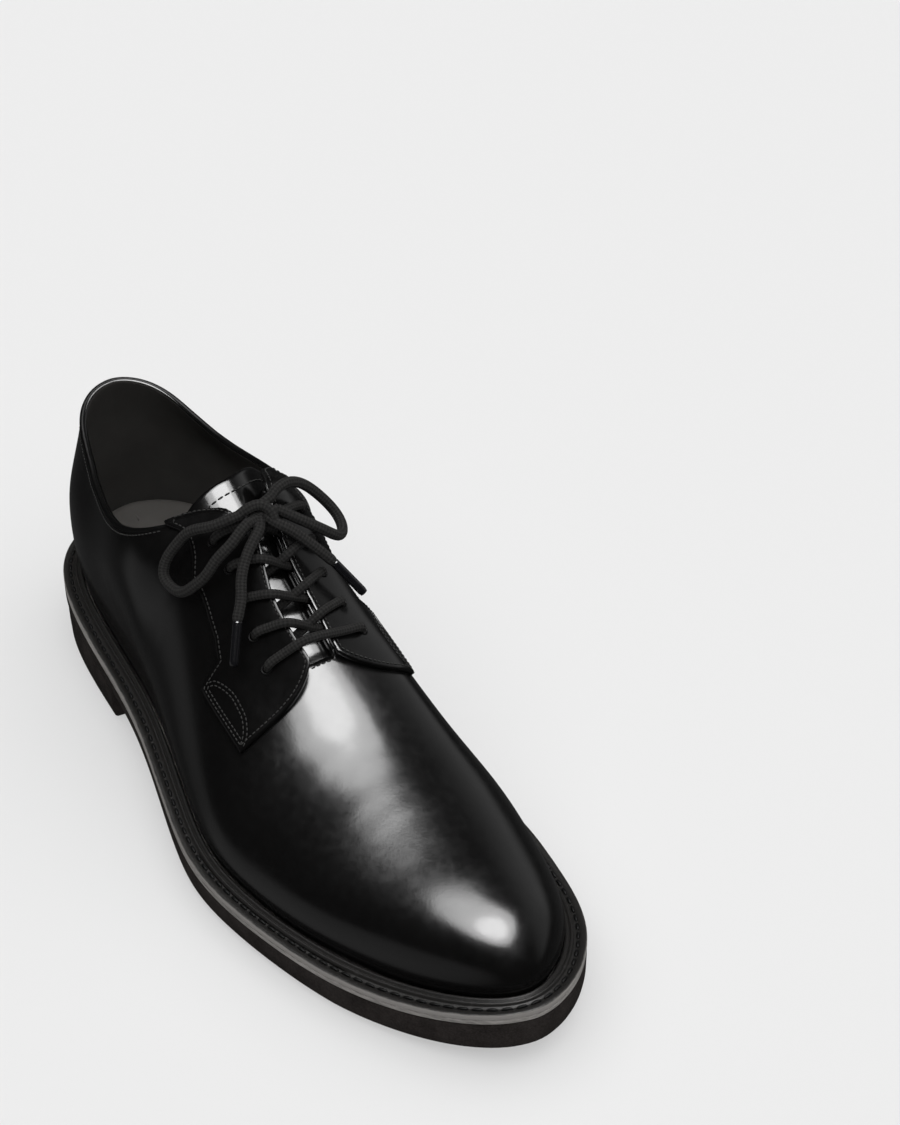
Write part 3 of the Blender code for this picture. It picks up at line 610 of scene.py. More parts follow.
def section_value(column, along):
    """One column of SECTIONS at places along the shoe (mm)."""
    knots, values, bend = section_curve(column)
    at = np.clip(np.atleast_1d(along), knots[HEEL_MIRRORED_ROWS], knots[-1])
    return spline_at(knots, values, bend, at)


@functools.lru_cache(maxsize=None)
def welt_curve():
    """Knots, heights and bends of the welt's top."""
    rows = np.array(WELT_TOP) * (SOLE_LENGTH, HEEL_HEIGHT)
    return rows[:, 0], rows[:, 1], spline_slopes(rows[:, 0], rows[:, 1], False)


def welt_top(along):
    """Height of the welt's top edge."""
    return spline_at(*welt_curve(), np.clip(np.atleast_1d(along), 0.0, SOLE_LENGTH))


def feather_height(along):
    """Height of the upper's lower edge, on the midsole."""
    return welt_top(along) - WELT_EDGE


def outsole_top(along):
    """Height of the outsole's upper face, under the midsole."""
    return welt_top(along) - WELT_EDGE - GAP - MIDSOLE_EDGE - GAP


def underside(along):
    """Height of the outsole's lower face: over the heel, through the arch, flat tread, toe spring."""
    along = np.atleast_1d(along)
    shank = outsole_top(along) - OUTSOLE_EDGE
    level = shank * (1.0 - smooth_step(along, SHANK_START, TREAD_START))
    rise = np.clip((along - TREAD_END) / (SOLE_LENGTH - TREAD_END), 0.0, 1.0)
    return np.where(along > TREAD_START, 0.0, level) + TOE_SPRING * rise**1.6


class Side:
    """Sole edge, feather line and girth line of one side, from the heel's back to the toe."""

    def __init__(self, name, edge, normal):
        along = edge[:, 0]
        self.name = name
        self.edge = edge
        self.normal = normal
        self.welt = section_value("welt_" + name, along)
        self.tuck = section_value("tuck_" + name, along)
        self.feather = edge - self.welt[:, None] * normal
        self.girth = self.feather + self.tuck[:, None] * normal

    def at(self, index, *names):
        """Values of the named arrays at fractional indices."""
        order = np.arange(len(self.edge))
        found = []
        for name in names:
            values = getattr(self, name)
            pick = np.interp if values.ndim == 1 else rows_at
            found.append(pick(index, order, values))
        return found

    def index_at(self, along, line="edge"):
        """Fractional index where a line of this side passes a place along the shoe."""
        return float(np.interp(along, getattr(self, line)[:, 0], np.arange(len(self.edge))))


def make_sides(samples=1200):
    """Both sides of the last from the closed curve of the sole edge."""
    rows = np.array(SOLE_EDGE) * (SOLE_LENGTH, BALL_WIDTH)
    knots = chord_lengths(np.vstack([rows, rows[:1]]), 0.5)
    edge = spline(knots, rows, np.linspace(0.0, knots[-1], samples, endpoint=False), closed=True)
    ahead = np.roll(edge, -1, 0) - np.roll(edge, 1, 0)
    ahead /= np.linalg.norm(ahead, axis=1)[:, None]
    outward = np.column_stack([ahead[:, 1], -ahead[:, 0]])
    if np.sum((edge - edge.mean(axis=0)) * outward) < 0.0:
        outward = -outward
    order = np.roll(np.arange(samples), -int(np.argmin(edge[:, 0])))
    tip = int(np.where(order == int(np.argmax(edge[:, 0])))[0][0])
    outer = order[:tip + 1]
    inner = np.concatenate([order[:1], order[tip:][::-1]])
    return {
        "outer": Side("outer", edge[outer], outward[outer]),
        "inner": Side("inner", edge[inner], outward[inner]),
    }


SIDES = make_sides()
TOE_TIP = SIDES["outer"].girth[-1]


def toe_profile():
    """Smooth profile over the toe box, ending upright at the toe tip."""
    rows = np.array(TOE_PROFILE) * (SOLE_LENGTH, INSTEP_HEIGHT)
    tip_height = feather_height(SIDES["outer"].feather[-1, 0]) + section_value("girth", SOLE_LENGTH)
    before = np.array([TOE_START - 8.0, TOE_START])
    start = np.column_stack([before, section_value("top", before) * INSTEP_HEIGHT])
    tip = np.array([[TOE_TIP[0], tip_height[0]]])
    mirrored = np.array([[rows[-1, 0], 2.0 * tip_height[0] - rows[-1, 1]]])
    points = np.vstack([start, rows, tip, mirrored])
    knots = chord_lengths(points)
    return spline(knots, points, np.linspace(0.0, knots[-2], 300))


PROFILE = toe_profile()


class Section:
    """One cross section of a side: from the feather line to the girth line to the top edge."""

    def __init__(self, side, along=None, heel_angle=None):
        sign = -1.0 if side.name == "outer" else 1.0
        if heel_angle is not None:
            near = side.girth[:, 0] <= HEEL_CENTRE + 20.0
            angles = np.arctan2(side.girth[near, 1] * sign, HEEL_CENTRE - side.girth[near, 0])
            index = float(np.interp(heel_angle, angles, np.arange(len(side.girth))[near]))
            self.centre = np.array([HEEL_CENTRE, 0.0])
            along = HEEL_CENTRE - HEEL_UNROLLED * (1.0 - heel_angle / (math.pi / 2.0))
        else:
            index = side.index_at(along, "girth")
            to_tip = max(0.0, (along - TOE_START) / (TOE_TIP[0] - TOE_START))
            ridge = section_value("ridge", along)[0]
            self.centre = np.array([along, (1.0 - to_tip) * ridge + to_tip * TOE_TIP[1]])
        self.along = along
        self.foot, self.side = [rows[0] for rows in side.at(index, "feather", "girth")]
        if heel_angle is None:
            self.side[0] = along
        top = section_value("top", along)[0] * INSTEP_HEIGHT
        if heel_angle is None and along > TOE_START:
            top = float(np.interp(along, PROFILE[:, 0], PROFILE[:, 1]))
        lean = math.radians(section_value("lean", along)[0])
        reach = section_value("reach", along)[0]
        full = section_value("full_" + side.name, along)[0]
        self.foot_height = feather_height(self.foot[0])[0]
        half = float(np.linalg.norm(self.side - self.centre))
        self.direction = (self.side - self.centre) / max(half, 1e-9)
        self.cap_rise = 0.5 * reach * half / math.tan(lean) if along > COLLAR_FRONT else 0.0
        self.cap_half = reach * half
        self.top = top - self.cap_rise
        self.side_height = self.foot_height + section_value("girth", along)[0]
        if along > TOE_START:
            self.side_height = min(self.side_height, self.top)
        rise = self.top - self.side_height
        run = half - self.cap_half
        handle = full * (run * math.sin(lean) + rise * math.cos(lean))
        self.arc = np.array([
            (half, self.side_height),
            (half, self.side_height + full * rise),
            (self.cap_half + handle * math.sin(lean), self.top - handle * math.cos(lean)),
            (self.cap_half, self.top),
        ])

    def band_point(self, share):
        """Point between the feather line (0) and the girth line (1)."""
        place = self.foot + (self.side - self.foot) * math.sin(share * math.pi / 2.0)
        height = self.foot_height + (self.side_height - self.foot_height) * share
        return np.array([place[0], place[1], height])

    def arc_point(self, share):
        """Point between the girth line (0) and the top edge (1)."""
        rest = 1.0 - share
        weights = (rest**3, 3.0 * rest**2 * share, 3.0 * rest * share**2, share**3)
        out, height = np.dot(weights, self.arc)
        place = self.centre + self.direction * out
        return np.array([place[0], place[1], height])

    def cap_point(self, share):
        """Point between the top edge (0) and the centre line (1)."""
        place = self.centre + self.direction * self.cap_half * (1.0 - share)
        height = self.top + self.cap_rise * (1.0 - (1.0 - share) ** 2)
        return np.array([place[0], place[1], height])


@functools.lru_cache(maxsize=None)
def section_at(name, station):
    """Section of a side at a station, unrolled round the heel."""
    if station < HEEL_CENTRE:
        turn = (station - HEEL_CENTRE + HEEL_UNROLLED) / HEEL_UNROLLED
        return Section(SIDES[name], heel_angle=turn * math.pi / 2.0)
    return Section(SIDES[name], station)


def facing_place(row, share):
    """Place along and arc height on a facing; row 0 to 1 from collar to front, share 0 at the throat."""
    rows = np.array(FACING_ROWS)
    at = row * (len(rows) - 1)
    inner_along, outer_along, outer_share = rows_at(at, np.arange(len(rows)), rows)[0]
    bulge = FACING_FRONT_BULGE * math.sin(math.pi * share**0.7) * smooth_step(row, 0.75, 1.0)
    along = inner_along + (outer_along - inner_along) * share + bulge
    return along, 1.0 + (outer_share - 1.0) * share


def throat_point(side, along, girth):
    """Point of the upper a distance round the section from its centre line."""
    section = section_at(side.name, round(along, 2))
    points = [section.cap_point(share) for share in (1.0, 0.5, 0.0)]
    points += [section.arc_point(share) for share in np.linspace(0.97, 0.3, 24)]
    points = np.array(points)
    return rows_at(girth, chord_lengths(points), points)[0]


def collar_edge(girth):
    """Place along where the tongue leaves the collar, a distance round from its centre line."""
    return COLLAR_FRONT + 0.5 - girth ** 2 / (girth + 6.0)


def tongue_point(along, across, drop):
    """Point on the tongue: under the throat's edges, then straight on up past the collar."""
    side = SIDES["inner"] if across > 0.0 else SIDES["outer"]
    girth = abs(across)
    hidden = max(along, collar_edge(girth))
    forward = throat_point(side, hidden + 1.0, girth) - throat_point(side, hidden - 0.5, girth)
    outward = throat_point(side, hidden, girth + 1.0) - throat_point(side, hidden, max(girth - 1.0, 0.0))
    normal = np.cross(forward, outward)
    normal *= math.copysign(1.0 / np.linalg.norm(normal), normal[2])
    beyond = hidden - along
    drop += TONGUE_EAR_DROP * (1.0 - smooth_step(along, COLLAR_FRONT, COLLAR_FRONT + 14.0))
    return throat_point(side, hidden, girth) - drop * normal + beyond * np.array([-1.0, 0.0, TONGUE_SLOPE])


# Fine surface of the upper

def crease_offset(station, across, outer):
    """Height of the leather over its smooth form; across is 0 on the ridge and 1 at the girth line."""
    offset = np.zeros(np.broadcast(station, across).shape)
    for along, slant, depth, width, outer_reach, inner_reach in CREASES:
        reach = outer_reach if outer else inner_reach
        fade = 1.0 - smooth_step(across, CREASE_FADE * reach, reach)
        distance = (station - along + slant * across / reach) / width
        swell = CREASE_SWELL * bell(distance / CREASE_SWELL_WIDTH)
        offset -= depth * fade * (bell(distance) - swell)
    for along, length, outer_width, inner_width, rise in TOE_SWELLS:
        width = outer_width if outer else inner_width
        offset += rise * bell((station - along) / length, across / width)
    if outer:
        for along, share, width, height, depth in SIDE_DENTS:
            offset -= depth * bell((station - along) / width, (1.0 - across - share) / height)
    else:
        along, length, width, out = EAR_FLARE
        offset += out * bell((station - along) / length, across / width)
    return offset


def bilinear(grid, row, column):
    """Values of a grid at fractional rows and columns."""
    row = np.clip(np.asarray(row, float), 0.0, len(grid) - 1.001)
    column = np.clip(np.asarray(column, float), 0.0, grid.shape[1] - 1.001)
    r = row.astype(int)
    c = column.astype(int)
    a = (row - r)[..., None]
    b = (column - c)[..., None]
    near = grid[r, c] * (1.0 - b) + grid[r, c + 1] * b
    far = grid[r + 1, c] * (1.0 - b) + grid[r + 1, c + 1] * b
    return near * (1.0 - a) + far * a


def unit(vectors):
    """Vectors at length one."""
    return vectors / np.maximum(np.linalg.norm(vectors, axis=-1, keepdims=True), 1e-9)


class Surface:
    """Fine creased grid of one side of the upper, on which the other pieces are placed."""

    def __init__(self, name):
        self.name = name
        self.turn = 1.0 if name == "outer" else -1.0
        toe_turn = np.linspace(0.0, math.pi / 2.0, TOE_STEPS)
        self.stations = np.concatenate([
            np.linspace(HEEL_CENTRE - HEEL_UNROLLED, HEEL_CENTRE, HEEL_STEPS, endpoint=False),
            np.linspace(HEEL_CENTRE, COLLAR_FRONT, QUARTER_STEPS, endpoint=False),
            np.linspace(COLLAR_FRONT, THROAT_END, THROAT_STEPS, endpoint=False),
            np.linspace(THROAT_END, TOE_START, VAMP_STEPS, endpoint=False),
            TOE_START + (TOE_TIP[0] - TOE_START) * np.sin(toe_turn),
        ])
        rows = []
        for station in self.stations:
            section = section_at(name, float(station))
            row = [section.band_point(share) for share in np.linspace(0.0, 1.0, BAND_STEPS)[:-1]]
            row += [section.arc_point(share) for share in np.linspace(0.0, self.top(station), ARC_STEPS)]
            row += [section.cap_point(share) for share in np.linspace(0.0, 1.0, CAP_STEPS)[1:]]
            rows.append(row)
        smooth = np.array(rows)
        window = bell((self.stations - TOE_START) / TOE_BLEND)[1:-1, None, None]
        for _ in range(TOE_BLEND_STEPS):
            middle = 0.5 * (smooth[:-2] + smooth[2:])
            smooth[1:-1] += 0.5 * window * (middle - smooth[1:-1])
        across = np.concatenate([np.ones(BAND_STEPS - 1), np.linspace(1.0, 0.0, ARC_STEPS),
                                 np.zeros(CAP_STEPS - 1)])
        offset = crease_offset(self.stations[:, None], across[None, :], name == "outer")
        self.grid = smooth + offset[..., None] * self.normals_of(smooth)
        self.normals = self.normals_of(self.grid)

    def top(self, station):
        """Arc share of the cut edge, lower at the ear."""
        cut, start, full, fade, end = EAR_CUT[self.name]
        return 1.0 - cut * smooth_step(station, start, full) * (1.0 - smooth_step(station, fade, end))

    def normals_of(self, grid):
        """Outward normals of a grid of this side."""
        forward = np.gradient(grid, axis=0)
        upward = np.gradient(grid, axis=1)
        upward[:, -1] = (0.0, self.turn, 0.0)
        return unit(np.cross(forward, upward)) * self.turn

    def place(self, station, share, lift=0.0):
        """Points and normals at stations and arc shares, lifted off the leather."""
        row = np.interp(station, self.stations, np.arange(len(self.stations)))
        column = BAND_STEPS - 1 + np.asarray(share, float) * (ARC_STEPS - 1)
        normal = unit(bilinear(self.normals, row, column))
        return bilinear(self.grid, row, column) + np.asarray(lift)[..., None] * normal, normal

    def share_below_edge(self, station, distance):
        """Arc share a distance below the top edge."""
        shares = np.linspace(1.0, 0.6, EDGE_STEPS)
        points, _ = self.place(np.full(EDGE_STEPS, station), shares)
        return float(np.interp(distance, chord_lengths(points), shares))


SURFACES = {name: Surface(name) for name in ("outer", "inner")}


# Mesh helpers

def to_metres(points):
    """Points in the frame, from places along, across and up in millimetres."""
    return (np.asarray(points, float) - (SOLE_LENGTH / 2.0, CENTRE_ACROSS, 0.0)) * MM


def grid_faces(rows, columns, closed=False):
    """Quads of a grid of vertices; a closed one joins its last column to its first."""
    faces = []
    for r in range(rows - 1):
        for c in range(columns if closed else columns - 1):
            d = (c + 1) % columns
            low, high = r * columns, (r + 1) * columns
            faces.append((low + c, low + d, high + d, high + c))
    return faces


def rim_places(rows, columns):
    """Rows and columns of the vertices round the rim of a grid."""
    rim = [(0, c) for c in range(columns)]
    rim += [(r, columns - 1) for r in range(1, rows)]
    rim += [(rows - 1, c) for c in range(columns - 2, -1, -1)]
    return rim + [(r, 0) for r in range(rows - 2, 0, -1)]


def add_object(name, data):
    """Object with its data, linked to the scene."""
    thing = bpy.data.objects.new(name, data)
    bpy.context.scene.collection.objects.link(thing)
    return thing


class Form:
    """Vertices (mm), faces and places along and round a thread, gathered for one mesh."""

    def __init__(self):
        self.vertices = []
        self.faces = []
        self.wraps = []
        self.count = 0

    def add(self, vertices, faces, wraps=None):
        """Add vertices with faces counted from zero."""
        vertices = np.asarray(vertices, float).reshape(-1, 3)
        self.faces += [tuple(i + self.count for i in face) for face in faces]
        self.vertices.append(vertices)
        self.wraps.append(np.zeros((len(vertices), 2)) if wraps is None else np.asarray(wraps))
        self.count += len(vertices)

    def piece(self, name, materials, replaces=(), merge=None):
        """Make the object, let it ride on the shoe and hide the solids it stands for."""
        mesh = bpy.data.meshes.new(name)
        mesh.from_pydata(to_metres(np.concatenate(self.vertices)).tolist(), [], self.faces)
        wrap = np.concatenate(self.wraps)
        layer = mesh.uv_layers.new(name="wrap")
        corners = np.zeros(len(mesh.loops), int)
        mesh.loops.foreach_get("vertex_index", corners)
        layer.data.foreach_set("uv", wrap[corners].astype(np.float32).ravel())
        form = bmesh.new()
        form.from_mesh(mesh)
        if merge:
            bmesh.ops.remove_doubles(form, verts=form.verts, dist=merge * MM)
            bmesh.ops.dissolve_degenerate(form, edges=form.edges, dist=merge * MM)
        bmesh.ops.recalc_face_normals(form, faces=form.faces)
        for face in form.faces:
            face.smooth = True
        form.to_mesh(mesh)
        form.free()
        for finish in materials if isinstance(materials, (list, tuple)) else [materials]:
            mesh.materials.append(finish)
        thing = add_object(name, mesh)
        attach(thing, "root")
        if replaces:
            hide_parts(*replaces)
        return thing


def resample(points, step):
    """Points at even steps along a smooth curve through the given ones."""
    points = np.asarray(points, float)
    knots = chord_lengths(points)
    dense = spline(knots, points, np.linspace(0.0, knots[-1], CURVE_STEPS * len(points)))
    lengths = chord_lengths(dense)
    places = np.linspace(0.0, lengths[-1], max(3, int(round(lengths[-1] / step)) + 1))
    return rows_at(places, lengths, dense)


def add_tube(form, path, radius, sides):
    """Round thread along a path with closed, slightly domed ends; radius may vary along it."""
    path = np.asarray(path, float)
    radii = np.full(len(path), radius) if np.isscalar(radius) else np.asarray(radius, float)
    ahead = unit(np.gradient(path, axis=0))
    across = unit(np.cross(ahead[0], TUBE_ACROSS))
    lengths = chord_lengths(path)
    angles = np.linspace(0.0, 2.0 * math.pi, sides + 1)
    vertices = []
    wraps = []
    for i, place in enumerate(path):
        across = unit(across - np.dot(across, ahead[i]) * ahead[i])
        upward = np.cross(ahead[i], across)
        ring = place + radii[i] * (np.cos(angles)[:, None] * across + np.sin(angles)[:, None] * upward)
        vertices.append(ring)
        wraps += [(lengths[i] * MM, k / sides) for k in range(sides + 1)]
    columns = sides + 1
    faces = grid_faces(len(path), columns)
    last = (len(path) - 1) * columns
    vertices = np.concatenate(vertices + [path[:1] - TUBE_DOME * radii[0] * ahead[0],
                                          path[-1:] + TUBE_DOME * radii[-1] * ahead[-1]])
    wraps += [(0.0, 0.0), (lengths[-1] * MM, 0.0)]
    faces += [(k, len(vertices) - 2, k + 1) for k in range(sides)]
    faces += [(last + k, last + k + 1, len(vertices) - 1) for k in range(sides)]
    form.add(vertices, faces, wraps)


def add_slab(form, top, bottom):
    """Closed slab between two grids of the same size."""
    rows, columns = top.shape[:2]
    count = rows * columns
    faces = grid_faces(rows, columns)
    faces += [tuple(i + count for i in face[::-1]) for face in grid_faces(rows, columns)]
    rim = [r * columns + c for r, c in rim_places(rows, columns)]
    for a, b in zip(rim, rim[1:] + rim[:1]):
        faces.append((b, a, a + count, b + count))
    form.add(np.concatenate([top.reshape(-1, 3), bottom.reshape(-1, 3)]), faces)


def add_stitches(form, points, normals, length=STITCH_LENGTH, pitch=STITCH_PITCH, width=STITCH_WIDTH):
    """Sewn thread along a line: a short rounded stitch at every pitch, sunk at its ends."""
    lengths = chord_lengths(points)
    count = max(1, int(round(lengths[-1] / pitch)))
    centres = (np.arange(count) + 0.5) * lengths[-1] / count
    middle = rows_at(centres, lengths, points)
    step = 0.25 * length
    ahead = unit(rows_at(centres + step, lengths, points) - rows_at(centres - step, lengths, points))
    up = unit(rows_at(centres, lengths, normals))
    side = unit(np.cross(up, ahead))
    angles = np.linspace(0.0, 2.0 * math.pi, STITCH_SIDES, endpoint=False)
    faces = grid_faces(len(STITCH_PROFILE), STITCH_SIDES, closed=True)
    last = (len(STITCH_PROFILE) - 1) * STITCH_SIDES
    faces.append(tuple(range(STITCH_SIDES)))
    faces.append(tuple(range(last, last + STITCH_SIDES))[::-1])
    for i in range(count):
        vertices = []
        for place, radius, sink in STITCH_PROFILE:
            lift = (STITCH_RISE + sink * STITCH_RISE) * width
            centre = middle[i] + place * length * ahead[i] + lift * up[i]
            for angle in angles:
                spoke = math.cos(angle) * side[i] + STITCH_FLAT * math.sin(angle) * up[i]
                vertices.append(centre + 0.5 * width * radius * spoke)
        form.add(vertices, faces)


# Materials

class Shader:
    """Node material with a Principled surface."""

    def __init__(self, name):
        self.material = bpy.data.materials.new(name)
        self.material.use_nodes = True
        self.tree = self.material.node_tree
        self.surface = self.tree.nodes["Principled BSDF"]
        place = self.node("ShaderNodeTexCoord")
        self.place = place.outputs["Object"]
        self.wrap = place.outputs["UV"]

    def node(self, kind, settings=None, **inputs):
        """Add a node; an input is a value or another node's socket."""
        made = self.tree.nodes.new(kind)
        for key, value in (settings or {}).items():
            setattr(made, key, value)
        for key, value in inputs.items():
            self.put(made, key, value)
        return made

    def put(self, node, key, value):
        """Set or link one input, named with underscores for spaces or by its number."""
        index = int(key[1:]) if key[0] == "n" and key[1:].isdigit() else key.replace("_", " ")
        if isinstance(value, bpy.types.NodeSocket):
            self.tree.links.new(value, node.inputs[index])
        else:
            node.inputs[index].default_value = value

    def look(self, **inputs):
        """Set or link inputs of the surface."""
        for key, value in inputs.items():
            self.put(self.surface, key, value)

    def noise(self, scale, detail=3.0, roughness=0.55, place=None):
        """Noise between 0 and 1 over the shoe."""
        made = self.node("ShaderNodeTexNoise", Vector=place or self.place, Scale=scale, Detail=detail,
                         Roughness=roughness)
        return made.outputs["Fac"]

    def spread(self, value, low, high, new_low=0.0, new_high=1.0):
        """Value moved from one range to another."""
        made = self.node("ShaderNodeMapRange", Value=value, From_Min=low, From_Max=high, To_Min=new_low,
                         To_Max=new_high)
        return made.outputs["Result"]

    def vary(self, noise, low, high):
        """Noise moved to a range."""
        return self.spread(noise, *NOISE_RANGE, low, high)

    def math(self, operation, first, second=0.0):
        """Arithmetic on two values."""
        made = self.node("ShaderNodeMath", {"operation": operation}, n0=first, n1=second)
        return made.outputs["Value"]

    def blend(self, share, first, second):
        """Colour between two colours."""
        made = self.node("ShaderNodeMix", {"data_type": "RGBA"}, n0=share, n6=first, n7=second)
        return made.outputs[2]

    def tint(self, share, colour, low, high):
        """Colour between two brightnesses of it."""
        return self.blend(share, shade(colour, low), shade(colour, high))

    def bump(self, height, depth, normal=None):
        """Surface normal bent by a height; depth in millimetres."""
        made = self.node("ShaderNodeBump", Height=height, Strength=1.0, Distance=depth * MM)
        if normal is not None:
            self.put(made, "Normal", normal)
        return made.outputs["Normal"]


def shade(colour, factor):
    """Colour with its brightness changed, and full alpha."""
    return (colour[0] * factor, colour[1] * factor, colour[2] * factor, 1.0)


def leather_material(name, colour, roughness=0.2, specular=0.22):
    """Polished black leather: fine grain, faint waves and a glossy finish."""
    shader = Shader(name)
    cells = shader.node("ShaderNodeTexVoronoi", {"feature": "SMOOTH_F1"}, Vector=shader.place, Scale=1150.0,
                        Smoothness=0.6)
    grain = shader.math("ADD", cells.outputs["Distance"], shader.noise(2400.0, 3.0))
    waves = shader.noise(95.0, 2.5, 0.5)
    normal = shader.bump(waves, 0.055)
    normal = shader.bump(grain, 0.007, normal)
    cloud = shader.noise(40.0, 4.0)
    shader.look(
        Base_Color=shader.tint(cloud, colour, 0.8, 1.25),
        Roughness=shader.vary(shader.noise(300.0, 4.0), 0.85 * roughness, 1.15 * roughness),
        Specular_IOR_Level=specular,
        Normal=normal,
    )
    return shader.material


def lining_material(name, colour):
    """Matte lining leather with a faint nap."""
    shader = Shader(name)
    nap = shader.noise(1400.0, 5.0, 0.7)
    cloud = shader.noise(55.0, 4.0)
    shader.look(
        Base_Color=shader.tint(cloud, colour, 0.75, 1.3),
        Roughness=shader.vary(nap, 0.62, 0.8),
        Specular_IOR_Level=0.006,
        Normal=shader.bump(nap, 0.05),
    )
    return shader.material


def rubber_material(name, colour, streak=0.0):
    """Moulded rubber with a fine matte skin; streak draws it out along the sole."""
    shader = Shader(name)
    place = shader.place
    if streak:
        stretch = shader.node("ShaderNodeMapping", Vector=place, Scale=(1.0 - streak, 1.0 - streak, 1.0))
        place = stretch.outputs["Vector"]
    skin = shader.noise(900.0, 6.0, 0.7, place)
    cloud = shader.math("ADD", shader.math("MULTIPLY", shader.noise(120.0, 5.0, 0.6, place), 0.5),
                        shader.math("MULTIPLY", shader.noise(1500.0, 3.0, 0.6, place), 0.5))
    cloudy = shader.spread(cloud, 0.35, 0.65)
    shader.look(
        Base_Color=shader.tint(cloudy, colour, 0.55, 1.4),
        Roughness=shader.vary(skin, 0.45, 0.72),
        Specular_IOR_Level=0.008,
        Normal=shader.bump(skin, 0.09, shader.bump(cloud, 0.12)),
    )
    return shader.material


def lace_material(name, colour):
    """Round braided cotton: two families of strands crossing round the thread."""
    shader = Shader(name)
    parts = shader.node("ShaderNodeSeparateXYZ", Vector=shader.wrap)
    along = shader.math("MULTIPLY", parts.outputs["X"], 2.0 * math.pi / (2.3 * MM))
    around = shader.math("MULTIPLY", parts.outputs["Y"], 2.0 * math.pi * 4.0)
    one = shader.math("SINE", shader.math("ADD", along, around))
    other = shader.math("SINE", shader.math("SUBTRACT", along, around))
    fuzz = shader.noise(3000.0, 5.0, 0.8)
    weave = shader.spread(shader.math("MULTIPLY", one, other), -1.0, 1.0)
    braid = shader.math("ADD", weave, shader.vary(fuzz, -0.7, 0.7))
    shader.look(
        Base_Color=shader.tint(braid, colour, 0.55, 1.25),
        Roughness=0.9,
        Specular_IOR_Level=0.0,
        Normal=shader.bump(fuzz, 0.2, shader.bump(weave, 0.2)),
    )
    return shader.material


def welt_material(name, colour, edge):
    """Black welt whose trimmed edge is stained like the midsole."""
    shader = Shader(name)
    skin = shader.noise(900.0, 6.0, 0.7)
    across = shader.node("ShaderNodeSeparateXYZ", Vector=shader.wrap).outputs["Y"]
    worn = shader.math("ADD", across, shader.vary(shader.noise(240.0, 4.0), -0.12, 0.12))
    worn = shader.spread(worn, 0.1, 0.75)
    shader.look(
        Base_Color=shader.blend(worn, shade(colour, 1.0), shade(edge, 1.0)),
        Roughness=shader.vary(skin, 0.28, 0.45),
        Specular_IOR_Level=shader.spread(across, 0.0, 0.6, 0.05, 0.008),
        Normal=shader.bump(skin, 0.06),
    )
    return shader.material


def thread_material(name, colour):
    """Waxed sewing thread."""
    shader = Shader(name)
    twist = shader.noise(2600.0, 3.0)
    shader.look(
        Base_Color=shader.tint(twist, colour, 0.7, 1.3),
        Roughness=0.5,
        Specular_IOR_Level=0.02,
        Normal=shader.bump(twist, 0.05),
    )
    return shader.material


def plastic_material(name, colour):
    """Glossy shrunk plastic of the lace tips."""
    shader = Shader(name)
    shader.look(
        Base_Color=shade(colour, 1.0),
        Roughness=0.12,
        Specular_IOR_Level=0.3,
        Normal=shader.bump(shader.noise(260.0, 3.0), 0.05),
    )
    return shader.material


def material(kind):
    """The shoe's material of that name, made once from the look settings."""
    name = "shoe_" + kind
    if name in bpy.data.materials:
        return bpy.data.materials[name]
    look = bpy.context.scene.shoe_look
    makers = {
        "leather": lambda: leather_material(name, look.leather),
        "tongue_leather": lambda: leather_material(name, look.leather, 0.16),
        # Copy of the leather with less shine for the outer facing: painted shade
        "facing_leather": lambda: leather_material(name, look.leather, 0.2, 0.10),
        "edge_leather": lambda: leather_material(name, look.leather, 0.34, 0.032),
        "welt_leather": lambda: welt_material(name, look.welt, look.midsole),
        "welt_thread": lambda: thread_material(name, look.welt_thread),
        "lining": lambda: lining_material(name, look.lining),
        "insole": lambda: lining_material(name, look.insole),
        "rubber": lambda: rubber_material(name, look.rubber),
        "midsole": lambda: rubber_material(name, look.midsole, 0.85),
        "lace": lambda: lace_material(name, look.lace),
        "thread": lambda: thread_material(name, look.thread),
        "aglet": lambda: plastic_material(name, look.aglet),
    }
    return makers[kind]()


# Upper, collar, facings and tongue

def make_upper():
    """Creased leather outside and lining inside, open at the collar, the throat and underneath."""
    form = Form()
    columns = BAND_STEPS - 1 + ARC_STEPS
    seam = 0.5 * (SURFACES["outer"].grid[0] + SURFACES["inner"].grid[0])
    for surface in SURFACES.values():
        surface.grid[0] = seam
        form.add(surface.grid[:, :columns], grid_faces(len(surface.stations), columns))
        first = int(np.searchsorted(surface.stations, THROAT_END - 0.01))
        cap = surface.grid[first:, columns - 1:]
        form.add(cap, grid_faces(*cap.shape[:2]))
    upper = form.piece("upper_shell", [material("leather"), material("lining")], ["upper"],
                       merge=0.03)
    middle = Vector(to_metres((SOLE_LENGTH / 2.0, 0.0, HEEL_HEIGHT)))
    outward = sum(face.normal.dot(face.center - middle) for face in upper.data.polygons)
    if outward < 0.0:
        upper.data.flip_normals()
    wall = upper.modifiers.new("wall", "SOLIDIFY")
    wall.thickness = UPPER_WALL * MM
    wall.offset = -1.0
    wall.use_even_offset = False
    wall.use_quality_normals = True
    wall.material_offset = 1


def collar_line(inset, front=COLLAR_FRONT):
    """Line round the collar a distance below its edge, from the outer ear back to the inner ear."""
    points = []
    normals = []
    for name, order in (("outer", -1), ("inner", 1)):
        surface = SURFACES[name]
        stations = np.linspace(HEEL_CENTRE - HEEL_UNROLLED, front, COLLAR_STEPS)[::order]
        shares = [surface.share_below_edge(station, inset) for station in stations]
        place, normal = surface.place(stations, np.array(shares))
        points.append(place if order < 0 else place[1:])
        normals.append(normal if order < 0 else normal[1:])
    return np.concatenate(points), np.concatenate(normals)


